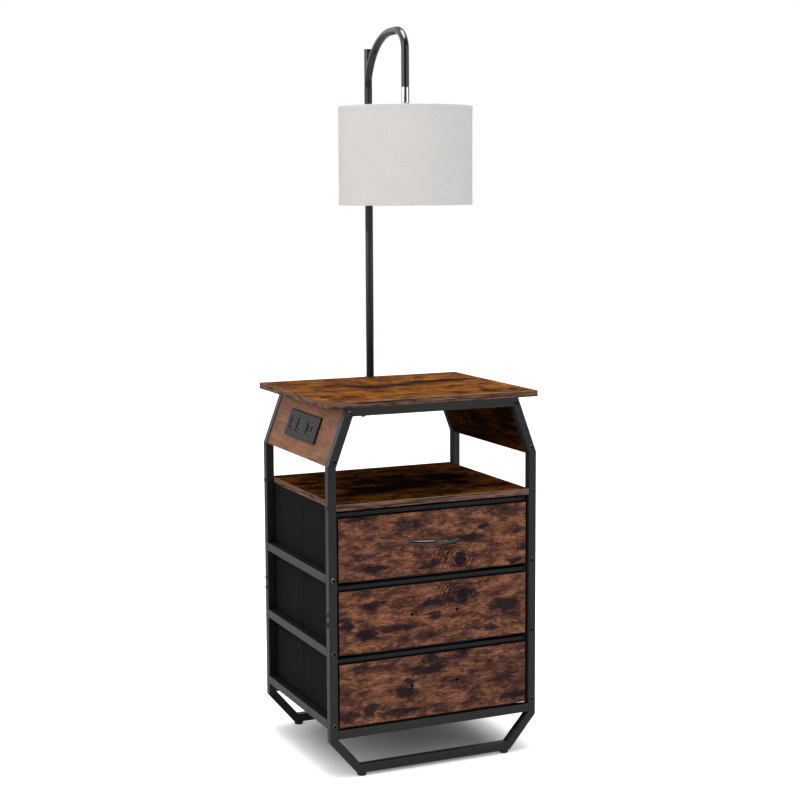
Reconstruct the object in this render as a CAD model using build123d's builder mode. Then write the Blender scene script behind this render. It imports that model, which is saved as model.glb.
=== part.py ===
from build123d import *
import math
import os

# A bedside table with a swing-arm lamp.
#
# Two flat frames of square tube, front and rear, carry a top board, a shelf and two
# slanted end panels.  Each frame is split at mid height and sleeved together.  Six side
# rails tie the frames to one another, and their ledges carry three fabric drawers.  The
# left end panel holds a socket strip.  A pole through the rear top rail carries an arched
# arm that swings about the pole and hangs a drum shade over the table top.
#
# Millimetres.  X runs to the right, Y to the rear and Z up from the floor.  The origin is
# the middle of the whole object's footprint.

os.makedirs("parts", exist_ok=True)

# ---- table: overall sizes --------------------------------------------------------------
FRAME_W = 440.0
FRAME_D = 356.0
TOP_SIDE_OVERHANG = 2.5
TOP_REAR_OVERHANG = 12.0
BOARD_T = 12.0
BOARD_EDGE = 0.8

# ---- square tube frames ----------------------------------------------------------------
TUBE = 16.5
TUBE_WALL = 1.2
TUBE_ROUND = 1.5
LOWER_KINK_Z = 71.8
FOOT_INSET = 57.0
CROSS_RAIL_RISE = 14.5
UPPER_KINK_RISE = 72.0
UPPER_SLANT_H = 109.0
TOP_INSET = 40.0
POST_JOINT_DROP = 6.0
SLEEVE_L = 80.0
SLEEVE_WALL = 1.5
SLEEVE_GAP = 0.1
SLEEVE_SCREW_PITCH = 20.0

# ---- feet ------------------------------------------------------------------------------
FOOT_H = 6.0
FOOT_R = 9.0
FOOT_ROUND = 2.0
FOOT_CORNER_GAP = 10.0
FOOT_STEM_R = 3.0
FOOT_STEM_L = 9.0

# ---- side rails with drawer ledges -----------------------------------------------------
LEDGE_W = 18.0
LEDGE_T = 2.0
RAIL_NUT_T = 6.0

# ---- screw places ----------------------------------------------------------------------
PANEL_SCREW_INSET = 10.0
TOP_SCREW_INSET = 35.0

# ---- fasteners -------------------------------------------------------------------------
RAIL_BOLT_R = 3.0
RAIL_BOLT_TIP_GAP = 1.0
RAIL_HEAD_R = 4.9
RAIL_HEAD_H = 3.0
SCREW_R = 2.0
SCREW_BITE = 20.0
SCREW_HEAD_R = 4.2
SCREW_HEAD_H = 2.4
TOP_SCREW_TIP_GAP = 3.0
SLEEVE_SCREW_L = 8.0
KEY_SHARE = 0.5
BOLT_GAP = 0.2
THREAD_GAP = 0.05

# ---- drawers ---------------------------------------------------------------------------
DRAWER_COUNT = 3
DRAWER_FLOOR_GAP = 2.45
DRAWER_STACK_GAP = 5.5
SHELF_GAP = 4.2
DRAWER_SIDE_GAP = 4.5
DRAWER_LIFT = 0.3
FRONT_RECESS = 4.0
FRONT_RISE = 2.0
FRONT_HEM_GAP = 1.0
FRONT_T = 9.0
FRONT_EDGE = 0.6
BIN_SIDE_GAP = 1.5
BIN_REAR_GAP = 1.0
BIN_H = 135.0
BIN_WALL = 3.0
BIN_ROUND = 2.5
BIN_SEAM = 0.05
HEM_H = 10.0
HEM_PROUD = 0.8
BASE_BOARD_T = 3.0
BASE_BOARD_GAP = 0.4
PULL_RISE = 3.0
PULL_SPACING = 96.0
PULL_HOLE_R = 2.3

# ---- bow handle ------------------------------------------------------------------------
HANDLE_END = 12.0
HANDLE_REACH = 25.0
HANDLE_H = 9.0
HANDLE_EDGE = 2.6
HANDLE_FOOT = 10.0
BOW_T = 5.5
HANDLE_SCREW_BITE = 6.0
HANDLE_SCREW_HEAD_H = 2.2

# ---- socket strip in the left end panel ------------------------------------------------
STRIP_W = 161.0
STRIP_H = 54.0
STRIP_PROUD = 4.0
STRIP_ROUND = 4.0
STRIP_EDGE = 2.4
STRIP_SHIFT = 2.5
STRIP_DROP = 1.6
HOUSING_LIP = 5.5
HOUSING_DEPTH = 34.0
HOUSING_WALL = 2.0
HOUSING_ROUND = 3.0
HOUSING_GAP = 0.4
GLAND_R = 6.0
GLAND_L = 10.0
CABLE_R = 3.2
OUTLET_W = 26.0
OUTLET_H = 28.0
OUTLET_ROUND = 2.5
OUTLET_SET = 1.0
OUTLET_DEPTH = 20.0
OUTLET_GAP = 0.7
OUTLET_X = (-51.5, -14.5)
SLOT_SPACING = 12.7
SLOT_RISE = 4.0
SLOT_W = 2.2
SLOT_SHORT = 6.6
SLOT_LONG = 8.2
OUTLET_FLOOR = 3.0
EARTH_R = 2.5
EARTH_DROP = 7.9
USB_X = 40.5
USB_W = 33.0
USB_H = 25.0
USB_SPACING = 16.0
USB_PORT_W = 5.4
USB_PORT_H = 13.0
USB_PORT_DEPTH = 12.0
USB_TONGUE_T = 1.8
USB_TONGUE_SET = 1.2

# ---- lamp pole -------------------------------------------------------------------------
LAMP_X = 15.0
POLE_R = 8.0
POLE_WALL = 1.2
PLUG_L = 14.0
BASE_FLANGE_R = 13.0
BASE_FLANGE_T = 2.5
BASE_FLANGE_EDGE = 0.8
STUD_R = 5.0
STUD_BORE_R = 3.4
STUD_GRIP = 12.0
WASHER_R = 9.0
WASHER_T = 1.5
NUT_T = 8.0
NUT_R = 9.0
LOWER_POLE_L = 301.7
UPPER_POLE_L = 292.7
COLLAR_T = 0.8

# ---- swing arm -------------------------------------------------------------------------
SWIVEL_PIN_R = 6.5
SWIVEL_PIN_L = 28.0
SWIVEL_GAP = 0.05
SWIVEL_END_GAP = 1.0
STUB_L = 78.4
STUB_EDGE = 1.0
ARM_R = 7.8
ARM_START_RISE = 19.9
ARM_START_RUN = 15.0
ARM_START_ANGLE = 25.0
ARM_LONG_BEND_R = 122.6
ARM_DROP_R = 40.6
ARM_DROP_L = 71.6
ARM_REACH = 184.0

# ---- lamp holder and shade -------------------------------------------------------------
STEM_R = 8.2
STEM_L = 46.2
STEM_EDGE = 0.6
SHADE_R = 131.4
SHADE_H = 191.3
SHADE_T = 1.2
RING_T = 2.4
RING_H = 5.0
SPIDER_DROP = 8.0
SPIDER_T = 2.0
SPIDER_ARM_W = 6.0
SPIDER_ARMS = 3
HUB_R = 20.0
CAP_R = 16.0
CAP_H = 20.0
CAP_ROUND = 5.0
SOCKET_R = 19.0
SOCKET_H = 50.0
SOCKET_EDGE = 1.5
BULB_BASE_R = 13.0
BULB_BASE_L = 26.0
BULB_GAP = 0.3
BULB_R = 30.0
BULB_NECK_R = 16.0
BULB_L = 84.0
GLASS_T = 1.0
NIPPLE_GRIP = 12.0

# ---- places worked out from the sizes --------------------------------------------------
STANDING = (Align.CENTER, Align.CENTER, Align.MIN)
HANGING = (Align.CENTER, Align.CENTER, Align.MAX)
LEFT = -1
RIGHT = 1
RIGHT_ANGLE = 90.0

tube_bore = TUBE - 2 * TUBE_WALL
post_x = FRAME_W / 2 - TUBE / 2
inner_w = FRAME_W - 2 * TUBE
top_w = FRAME_W + 2 * TOP_SIDE_OVERHANG
top_d = FRAME_D + TOP_REAR_OVERHANG
handle_overhang = HANDLE_REACH - FRONT_RECESS
frame_front = (handle_overhang - top_d) / 2
frame_rear = frame_front + FRAME_D
frame_mid = (frame_front + frame_rear) / 2
front_tube_y = frame_front + TUBE / 2
rear_tube_y = frame_rear - TUBE / 2
rail_length = FRAME_D - 2 * TUBE

cross_rail_z = LOWER_KINK_Z + CROSS_RAIL_RISE
drawer_pitch = BIN_H + DRAWER_STACK_GAP
lowest_drawer_z = cross_rail_z + TUBE / 2 + DRAWER_FLOOR_GAP
drawer_bases = [lowest_drawer_z + drawer_pitch * level for level in reversed(range(DRAWER_COUNT))]
rail_heights = [base - DRAWER_LIFT + TUBE / 2 for base in drawer_bases]
post_joint_z = (rail_heights[0] + rail_heights[1]) / 2 - POST_JOINT_DROP
shelf_under_z = drawer_bases[0] + BIN_H + SHELF_GAP
shelf_mid_z = shelf_under_z + BOARD_T / 2
upper_kink_z = shelf_under_z + BOARD_T + UPPER_KINK_RISE
top_rail_z = upper_kink_z + UPPER_SLANT_H
top_rail_under = top_rail_z - TUBE
table_h = top_rail_z + BOARD_T

front_w = inner_w - 2 * DRAWER_SIDE_GAP
front_h = BIN_H - FRONT_RISE - HEM_H - FRONT_HEM_GAP
bin_w = inner_w - 2 * BIN_SIDE_GAP
bin_d = FRAME_D - FRONT_RECESS - FRONT_T - BIN_REAR_GAP
hem_w = bin_w + 2 * HEM_PROUD
hem_d = bin_d + 2 * HEM_PROUD
drawer_face_y = frame_front + FRONT_RECESS
bin_front_y = drawer_face_y + FRONT_T
pull_z = FRONT_RISE + front_h / 2 + PULL_RISE

screw_hole_r = SCREW_R + BOLT_GAP
swivel_bore_r = SWIVEL_PIN_R + SWIVEL_GAP
thread_bore_r = STUD_R + THREAD_GAP
rail_bolt_l = TUBE + RAIL_NUT_T - RAIL_BOLT_TIP_GAP
board_screw_l = TUBE + SCREW_BITE
top_screw_l = TUBE + BOARD_T - TOP_SCREW_TIP_GAP
handle_screw_l = FRONT_T + BIN_WALL + HANDLE_SCREW_BITE


# ---- helpers ---------------------------------------------------------------------------
def write(part, name):
    """Label a finished piece and write it as one STEP file."""
    part.label = name
    export_step(part, f"parts/{name}.step")


def unit_runs(points):
    """Unit directions of the straight runs between points."""
    return [(end - start).normalized() for start, end in zip(points, points[1:])]


def inset_outline(points, depth):
    """An open XZ outline moved to its right-hand side, mitred at its corners."""
    runs = unit_runs(points)
    inset = []
    for point, before, after in zip(points, [runs[0]] + runs, runs + [runs[-1]]):
        inward = Vector(before.Z + after.Z, 0, -before.X - after.X)
        inset.append(point + inward * (depth / (1 + before.dot(after))))
    return inset


def bore(seats, radius, depth):
    """Cut a hole below each seat plane in the part being built."""
    with Locations(*seats):
        Cylinder(radius, depth, align=HANGING, mode=Mode.SUBTRACT)


def cut_tube(start, end, first_cut, last_cut, bores):
    """A length of square tube between two mitre planes, with its holes."""
    run = end - start
    stock_start = start - run.normalized() * TUBE
    with BuildPart() as tube:
        with BuildSketch(Plane(origin=stock_start, x_dir=(0, 1, 0), z_dir=run)):
            RectangleRounded(TUBE, TUBE, TUBE_ROUND)
            Rectangle(tube_bore, tube_bore, mode=Mode.SUBTRACT)
        extrude(amount=run.length + 2 * TUBE)
        split(bisect_by=Plane(origin=start, z_dir=first_cut), keep=Keep.TOP)
        split(bisect_by=Plane(origin=end, z_dir=-last_cut), keep=Keep.TOP)
        for seats, radius, depth in bores:
            bore(seats, radius, depth)
    return tube.part.solid()


def mitred_tubes(outline, tube_y, bores):
    """Tubes along an outline of outer corners: one solid for each straight length."""
    centre = [point + Vector(0, tube_y, 0) for point in inset_outline(outline, TUBE / 2)]
    runs = unit_runs(centre)
    before = [runs[0]] + runs[:-1]
    after = runs[1:] + [runs[-1]]
    tubes = []
    for index, run in enumerate(runs):
        first_cut = before[index] + run
        last_cut = run + after[index]
        tubes.append(cut_tube(centre[index], centre[index + 1], first_cut, last_cut, bores))
    return tubes


def socket_screw(head_r, head_h, shank_r, length):
    """A screw with a sloped round head and a hexagon key recess, seated at z = 0."""
    with BuildPart() as screw:
        Cylinder(head_r, head_h, align=STANDING)
        chamfer(screw.faces().sort_by(Axis.Z)[-1].edges(), head_h * KEY_SHARE)
        Cylinder(shank_r, length, align=HANGING)
        with BuildSketch(Plane.XY.offset(head_h)):
            RegularPolygon(shank_r * math.sqrt(KEY_SHARE), 6)
        extrude(amount=-head_h * KEY_SHARE, mode=Mode.SUBTRACT)
    return screw.part


def placed(piece, seats):
    """Copies of one piece, one on each seat plane, as a group of separate solids."""
    with BuildPart() as group:
        with Locations(*seats):
            add(piece)
    return group.part


def facing(direction, *points):
    """Seat planes at some points, all looking along one direction."""
    return [Plane(origin=point, z_dir=direction) for point in points]


# ---- fastener seats --------------------------------------------------------------------
upper_outline = [
    Vector(-FRAME_W / 2, 0, post_joint_z),
    Vector(-FRAME_W / 2, 0, upper_kink_z),
    Vector(-FRAME_W / 2 + TOP_INSET, 0, top_rail_z),
    Vector(FRAME_W / 2 - TOP_INSET, 0, top_rail_z),
    Vector(FRAME_W / 2, 0, upper_kink_z),
    Vector(FRAME_W / 2, 0, post_joint_z),
]
lower_outline = [
    Vector(FRAME_W / 2, 0, post_joint_z),
    Vector(FRAME_W / 2, 0, LOWER_KINK_Z),
    Vector(FRAME_W / 2 - FOOT_INSET, 0, FOOT_H),
    Vector(-FRAME_W / 2 + FOOT_INSET, 0, FOOT_H),
    Vector(-FRAME_W / 2, 0, LOWER_KINK_Z),
    Vector(-FRAME_W / 2, 0, post_joint_z),
]
slant = math.atan2(TOP_INSET, top_rail_z - upper_kink_z)
upper_centre = inset_outline(upper_outline, TUBE / 2)


def slant_x(height):
    """Distance of the slanted tubes' centre line from the middle, at a height."""
    right_kink = upper_centre[-2]
    return right_kink.X - (height - right_kink.Z) * math.tan(slant)


sides = (LEFT, RIGHT)
panel_screw_heights = (upper_kink_z + PANEL_SCREW_INSET, top_rail_z - PANEL_SCREW_INSET)
sleeve_screw_heights = (
    post_joint_z - SLEEVE_SCREW_PITCH / 2,
    post_joint_z + SLEEVE_SCREW_PITCH / 2,
)


def face_seats(face_y, outward):
    """Seats on the front or rear face of a frame: the rail bolts, then the panel screws."""
    rail_seats = facing(outward, *[(side * post_x, face_y, z) for side in sides for z in rail_heights])
    panel_seats = facing(
        outward, *[(side * slant_x(z), face_y, z) for side in sides for z in panel_screw_heights]
    )
    return rail_seats, panel_seats


def side_seats(tube_y, heights):
    """Seats on the outer side faces of one frame's posts."""
    seats = []
    for side in sides:
        seats += facing((side, 0, 0), *[(side * FRAME_W / 2, tube_y, z) for z in heights])
    return seats


def under_seats(tube_y, height, *places_x):
    """Seats that look down from under a rail."""
    return facing((0, 0, -1), *[(x, tube_y, height) for x in places_x])


front_rail_seats, front_panel_seats = face_seats(frame_front, (0, -1, 0))
rear_rail_seats, rear_panel_seats = face_seats(frame_rear, (0, 1, 0))
rail_bolt_seats = front_rail_seats + rear_rail_seats
panel_screw_seats = front_panel_seats + rear_panel_seats
top_screw_x = FRAME_W / 2 - TOP_INSET - TOP_SCREW_INSET
foot_x = FRAME_W / 2 - FOOT_INSET - FOOT_CORNER_GAP
sleeve_screw_seats = []
shelf_screw_seats = []
top_screw_seats = []
foot_seats = []
for tube_y in (front_tube_y, rear_tube_y):
    sleeve_screw_seats += side_seats(tube_y, sleeve_screw_heights)
    shelf_screw_seats += side_seats(tube_y, (shelf_mid_z,))
    top_screw_seats += under_seats(tube_y, top_rail_under, -top_screw_x, top_screw_x)
    foot_seats += under_seats(tube_y, FOOT_H, -foot_x, foot_x)
lamp_hole_seat = facing((0, 0, 1), (LAMP_X, rear_tube_y, table_h))

# ---- frames: four halves of mitred square tube -----------------------------------------
upper_bores = [
    (sleeve_screw_seats, screw_hole_r, TUBE / 2),
    (shelf_screw_seats, screw_hole_r, TUBE + BOLT_GAP),
    (top_screw_seats, screw_hole_r, TUBE + BOLT_GAP),
]
lower_bores = [
    (sleeve_screw_seats, screw_hole_r, TUBE / 2),
]
frame_faces = {
    "front": (front_tube_y, front_rail_seats, front_panel_seats),
    "rear": (rear_tube_y, rear_rail_seats, rear_panel_seats),
}


def on_frame(seats, tube_y):
    """Those seats that lie on the frame at tube_y."""
    return [seat for seat in seats if abs(seat.origin.Y - tube_y) <= TUBE]


def foot_holes(tube_y):
    """Holes for the foot stems, in the lower wall of the bottom rail."""
    places = [(x, tube_y, FOOT_H + TUBE / 2) for x in (-foot_x, foot_x)]
    return facing((0, 0, 1), *places)


for frame_name, (tube_y, rail_seats, panel_seats) in frame_faces.items():
    upper_cuts = [(on_frame(seats, tube_y), radius, depth) for seats, radius, depth in upper_bores]
    upper_cuts += [(rail_seats, RAIL_BOLT_R + BOLT_GAP, TUBE + BOLT_GAP)]
    upper_cuts += [(panel_seats, screw_hole_r, TUBE + BOLT_GAP)]
    if tube_y == rear_tube_y:
        upper_cuts += [(lamp_hole_seat, STUD_R + BOLT_GAP, BOARD_T + TUBE + BOLT_GAP)]
    upper_tubes = mitred_tubes(upper_outline, tube_y, upper_cuts)
    write(Compound(upper_tubes), f"{frame_name}_upper_frame")

    lower_cuts = [(on_frame(seats, tube_y), radius, depth) for seats, radius, depth in lower_bores]
    lower_cuts += [(rail_seats, RAIL_BOLT_R + BOLT_GAP, TUBE + BOLT_GAP)]
    lower_cuts += [(foot_holes(tube_y), FOOT_STEM_R + BOLT_GAP, TUBE)]
    lower_tubes = mitred_tubes(lower_outline, tube_y, lower_cuts)
    rail_start = Vector(-inner_w / 2, tube_y, cross_rail_z)
    rail_end = Vector(inner_w / 2, tube_y, cross_rail_z)
    along = rail_end - rail_start
    lower_tubes.append(cut_tube(rail_start, rail_end, along, along, []))
    write(Compound(lower_tubes), f"{frame_name}_lower_frame")

# ---- post sleeves ----------------------------------------------------------------------
sleeve_w = tube_bore - 2 * SLEEVE_GAP
sleeve_base = post_joint_z - SLEEVE_L / 2
with BuildPart() as post_sleeves:
    with BuildSketch(Plane.XY.offset(sleeve_base)):
        with Locations(*[(side * post_x, y) for side in sides for y in (front_tube_y, rear_tube_y)]):
            Rectangle(sleeve_w, sleeve_w)
            Rectangle(sleeve_w - 2 * SLEEVE_WALL, sleeve_w - 2 * SLEEVE_WALL, mode=Mode.SUBTRACT)
    extrude(amount=SLEEVE_L)
    bore(sleeve_screw_seats, SCREW_R + THREAD_GAP, TUBE / 2)
write(post_sleeves.part, "post_sleeves")

# ---- side rails ------------------------------------------------------------------------
rail_names = ("top", "middle", "bottom")


def side_rail(side, height):
    """A square tube with an inward ledge under its foot and a nut block in each end."""
    section = Plane(origin=(side * post_x, frame_mid, height), x_dir=(-side, 0, 0), z_dir=(0, side, 0))
    nut_y = (rail_length - RAIL_NUT_T) / 2
    ends = [seat for seat in rail_bolt_seats if seat.origin.X * side > 0 and seat.origin.Z == height]
    with BuildPart() as rail:
        with BuildSketch(section):
            RectangleRounded(TUBE, TUBE, TUBE_ROUND)
            with Locations((0, TUBE_ROUND - TUBE / 2)):
                Rectangle(TUBE / 2, TUBE_ROUND + LEDGE_T, align=(Align.MIN, Align.MAX))
            with Locations((0, -TUBE / 2)):
                Rectangle(TUBE / 2 + LEDGE_W, LEDGE_T, align=(Align.MIN, Align.MAX))
            Rectangle(tube_bore, tube_bore, mode=Mode.SUBTRACT)
        extrude(amount=rail_length / 2, both=True)
        with Locations(*[(side * post_x, frame_mid + end * nut_y, height) for end in sides]):
            Box(tube_bore, RAIL_NUT_T, tube_bore)
        bore(ends, RAIL_BOLT_R + THREAD_GAP, TUBE + RAIL_NUT_T)
    return rail.part


for level, height in zip(rail_names, rail_heights):
    write(side_rail(LEFT, height), f"left_rail_{level}")
    write(side_rail(RIGHT, height), f"right_rail_{level}")

# ---- feet ------------------------------------------------------------------------------
with BuildPart() as foot:
    Cylinder(FOOT_R, FOOT_H, align=STANDING)
    fillet(foot.faces().sort_by(Axis.Z)[-1].edges(), FOOT_ROUND)
    Cylinder(FOOT_STEM_R, FOOT_STEM_L, align=HANGING)
write(placed(foot.part, foot_seats), "foot_pads")

# ---- fasteners -------------------------------------------------------------------------
rail_bolt = socket_screw(RAIL_HEAD_R, RAIL_HEAD_H, RAIL_BOLT_R, rail_bolt_l)
long_screw = socket_screw(SCREW_HEAD_R, SCREW_HEAD_H, SCREW_R, board_screw_l)
top_screw = socket_screw(SCREW_HEAD_R, SCREW_HEAD_H, SCREW_R, top_screw_l)
sleeve_screw = socket_screw(SCREW_HEAD_R, SCREW_HEAD_H, SCREW_R, SLEEVE_SCREW_L)
write(placed(rail_bolt, rail_bolt_seats), "rail_bolts")
write(placed(long_screw, panel_screw_seats), "end_panel_screws")
write(placed(long_screw, shelf_screw_seats), "shelf_screws")
write(placed(top_screw, top_screw_seats), "top_board_screws")
write(placed(sleeve_screw, sleeve_screw_seats), "sleeve_screws")

# ---- top board and shelf ---------------------------------------------------------------
top_centre_y = frame_front + top_d / 2
with BuildPart() as top_board:
    with BuildSketch(Plane.XY.offset(top_rail_z)):
        with Locations((0, top_centre_y)):
            Rectangle(top_w, top_d)
    extrude(amount=BOARD_T)
    fillet(top_board.faces().sort_by(Axis.Z)[-1].edges(), BOARD_EDGE)
    bore(lamp_hole_seat, STUD_R + BOLT_GAP, BOARD_T)
    bore(top_screw_seats, SCREW_R + THREAD_GAP, top_screw_l + BOLT_GAP)
write(top_board.part, "top_board")

with BuildPart() as shelf_board:
    with BuildSketch(Plane.XY.offset(shelf_under_z)):
        with Locations((0, frame_mid)):
            Rectangle(inner_w, FRAME_D)
    extrude(amount=BOARD_T)
    fillet(shelf_board.edges().filter_by(Axis.X).group_by(Axis.Z)[-1], BOARD_EDGE)
    bore(shelf_screw_seats, SCREW_R + THREAD_GAP, board_screw_l + BOLT_GAP)
write(shelf_board.part, "shelf_board")

# ---- slanted end panels ----------------------------------------------------------------
panel_set = (TUBE - BOARD_T) / 2
up_slope = Vector(math.sin(slant), 0, math.cos(slant))
into_slope = Vector(math.cos(slant), 0, -math.sin(slant))
left_kink = Vector(-FRAME_W / 2, 0, upper_kink_z)
panel_foot = left_kink + into_slope * panel_set
panel_rise = (top_rail_z - panel_foot.Z) / up_slope.Z
panel_back_foot = panel_foot + into_slope * BOARD_T
panel_back_rise = (top_rail_z - panel_back_foot.Z) / up_slope.Z
strip_rise = panel_rise / 2 - STRIP_DROP
strip_origin = panel_foot + up_slope * strip_rise + Vector(0, frame_mid + STRIP_SHIFT, 0)
strip_plane = Plane(origin=strip_origin, x_dir=(0, -1, 0), z_dir=-into_slope)
housing_w = STRIP_W - 2 * HOUSING_LIP
housing_h = STRIP_H - 2 * HOUSING_LIP


def end_panel(side):
    """A board between the slanted tubes: square cut below, bevelled under the top board."""
    outline = [
        panel_foot,
        panel_foot + up_slope * panel_rise,
        panel_back_foot + up_slope * panel_back_rise,
        panel_back_foot,
    ]
    with BuildPart() as panel:
        with BuildSketch(Plane.XZ.offset(-frame_mid)):
            Polygon(*[(-side * point.X, point.Z) for point in outline], align=None)
        extrude(amount=rail_length / 2, both=True)
        bore(panel_screw_seats, SCREW_R + THREAD_GAP, board_screw_l + BOLT_GAP)
        if side == LEFT:
            with BuildSketch(strip_plane):
                RectangleRounded(housing_w + HOUSING_GAP, housing_h + HOUSING_GAP, HOUSING_ROUND)
            extrude(amount=-BOARD_T, mode=Mode.SUBTRACT)
    return panel.part


write(end_panel(LEFT), "left_end_panel")
write(end_panel(RIGHT), "right_end_panel")

# ---- socket strip ----------------------------------------------------------------------
with BuildPart() as strip_faceplate:
    with BuildSketch(strip_plane):
        RectangleRounded(STRIP_W, STRIP_H, STRIP_ROUND)
    extrude(amount=STRIP_PROUD)
    plate_face = strip_faceplate.faces().sort_by(Axis(strip_plane.origin, strip_plane.z_dir))[-1]
    fillet(plate_face.edges(), STRIP_EDGE)
    with BuildSketch(strip_plane):
        with Locations(*[(x, 0) for x in OUTLET_X]):
            RectangleRounded(OUTLET_W, OUTLET_H, OUTLET_ROUND)
        with Locations((USB_X, 0)):
            RectangleRounded(USB_W, USB_H, OUTLET_ROUND)
    extrude(amount=STRIP_PROUD, mode=Mode.SUBTRACT)
write(strip_faceplate.part, "strip_faceplate")

housing_inner_w = housing_w - 2 * HOUSING_WALL
housing_inner_h = housing_h - 2 * HOUSING_WALL
gland_seat = strip_plane.offset(-(BOARD_T + HOUSING_DEPTH) / 2).origin + Vector(0, housing_w / 2, 0)
with BuildPart() as strip_housing:
    with BuildSketch(strip_plane):
        RectangleRounded(housing_w, housing_h, HOUSING_ROUND)
    extrude(amount=-HOUSING_DEPTH)
    with BuildSketch(strip_plane):
        Rectangle(housing_inner_w, housing_inner_h)
    extrude(amount=HOUSING_WALL - HOUSING_DEPTH, mode=Mode.SUBTRACT)
    bore(facing((0, 1, 0), gland_seat), CABLE_R, HOUSING_WALL)
write(strip_housing.part, "strip_housing")

with BuildPart() as strip_gland:
    with Locations(*facing((0, 1, 0), gland_seat)):
        Cone(GLAND_R, CABLE_R + HOUSING_WALL / 2, GLAND_L, align=STANDING)
    bore(facing((0, 1, 0), gland_seat + Vector(0, GLAND_L, 0)), CABLE_R, GLAND_L)
write(strip_gland.part, "strip_gland")

outlet_face = strip_plane.offset(STRIP_PROUD - OUTLET_SET)
with BuildPart() as ac_outlets:
    with BuildSketch(outlet_face):
        with Locations(*[(x, 0) for x in OUTLET_X]):
            RectangleRounded(OUTLET_W - 2 * OUTLET_GAP, OUTLET_H - 2 * OUTLET_GAP, OUTLET_ROUND)
    extrude(amount=-OUTLET_DEPTH)
    with BuildSketch(outlet_face):
        for outlet_x in OUTLET_X:
            with Locations((outlet_x - SLOT_SPACING / 2, SLOT_RISE)):
                Rectangle(SLOT_W, SLOT_LONG)
            with Locations((outlet_x + SLOT_SPACING / 2, SLOT_RISE)):
                Rectangle(SLOT_W, SLOT_SHORT)
            with Locations((outlet_x, -EARTH_DROP)):
                Circle(EARTH_R)
    extrude(amount=OUTLET_FLOOR - OUTLET_DEPTH, mode=Mode.SUBTRACT)
write(ac_outlets.part, "ac_outlets")

with BuildPart() as usb_outlet:
    with BuildSketch(outlet_face):
        with Locations((USB_X, 0)):
            RectangleRounded(USB_W - 2 * OUTLET_GAP, USB_H - 2 * OUTLET_GAP, OUTLET_ROUND)
    extrude(amount=-OUTLET_DEPTH)
    with BuildSketch(outlet_face):
        with Locations((USB_X - USB_SPACING / 2, 0), (USB_X + USB_SPACING / 2, 0)):
            Rectangle(USB_PORT_W, USB_PORT_H)
    extrude(amount=-USB_PORT_DEPTH, mode=Mode.SUBTRACT)
    with BuildSketch(outlet_face.offset(-USB_PORT_DEPTH)):
        with Locations((USB_X - USB_SPACING / 2, 0), (USB_X + USB_SPACING / 2, 0)):
            Rectangle(USB_TONGUE_T, USB_PORT_H - 2 * USB_TONGUE_SET)
    extrude(amount=USB_PORT_DEPTH - USB_TONGUE_SET)
write(usb_outlet.part, "usb_outlet")

# ---- drawers ---------------------------------------------------------------------------
drawer_names = ("drawer_top", "drawer_middle", "drawer_bottom")
bin_mid_y = bin_front_y + bin_d / 2
pull_half = PULL_SPACING / 2


def pull_seats(face_y, base):
    """The two handle screw seats of a drawer, looking to the rear from a depth face_y."""
    return facing((0, 1, 0), (-pull_half, face_y, base + pull_z), (pull_half, face_y, base + pull_z))


def drawer_front(base):
    """A board with softened front edges and two holes for a handle."""
    with BuildPart() as front:
        with BuildSketch(Plane.XZ.offset(-bin_front_y)):
            with Locations((0, base + FRONT_RISE + front_h / 2)):
                Rectangle(front_w, front_h)
        extrude(amount=FRONT_T)
        chamfer(front.faces().sort_by(Axis.Y)[0].edges(), FRONT_EDGE)
        bore(pull_seats(bin_front_y, base), PULL_HOLE_R, FRONT_T)
    return front.part


def fabric_bin(base):
    """An open box sewn from a floor and four walls, with a folded hem round its rim."""
    with BuildPart() as fabric:
        with BuildSketch(Plane.XY.offset(base)):
            with Locations((0, bin_mid_y)):
                RectangleRounded(bin_w, bin_d, BIN_ROUND)
        extrude(amount=BIN_H)
        with BuildSketch(Plane.XY.offset(base + BIN_H - HEM_H)):
            with Locations((0, bin_mid_y)):
                RectangleRounded(hem_w, hem_d, BIN_ROUND)
        extrude(amount=HEM_H)
        with BuildSketch(Plane.XY.offset(base + BIN_WALL)):
            with Locations((0, bin_mid_y)):
                Rectangle(bin_w - 2 * BIN_WALL, bin_d - 2 * BIN_WALL)
        extrude(amount=BIN_H, mode=Mode.SUBTRACT)
        with BuildSketch(Plane.XY.offset(base + BIN_WALL)):
            with Locations((0, bin_mid_y)):
                Rectangle(hem_w, hem_d)
        extrude(amount=BIN_SEAM, mode=Mode.SUBTRACT)
        with BuildSketch(Plane.XY.offset(base + BIN_WALL)):
            with Locations((0, bin_mid_y)):
                Rectangle(bin_w - 2 * BIN_WALL + 2 * BIN_SEAM, hem_d)
                Rectangle(bin_w - 2 * BIN_WALL, hem_d, mode=Mode.SUBTRACT)
        extrude(amount=BIN_H, mode=Mode.SUBTRACT)
        bore(pull_seats(bin_front_y + BIN_WALL, base), PULL_HOLE_R, BIN_WALL)
    return fabric.part


def base_board(base):
    """A loose stiffening board on the floor of a fabric bin."""
    inset = 2 * (BIN_WALL + BASE_BOARD_GAP)
    with BuildPart() as board:
        with BuildSketch(Plane.XY.offset(base + BIN_WALL)):
            with Locations((0, bin_mid_y)):
                Rectangle(bin_w - inset, bin_d - inset)
        extrude(amount=BASE_BOARD_T)
    return board.part


for drawer_name, base in zip(drawer_names, drawer_bases):
    write(drawer_front(base), f"{drawer_name}_front")
    write(fabric_bin(base), f"{drawer_name}_fabric_bin")
    write(base_board(base), f"{drawer_name}_base_board")

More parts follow.
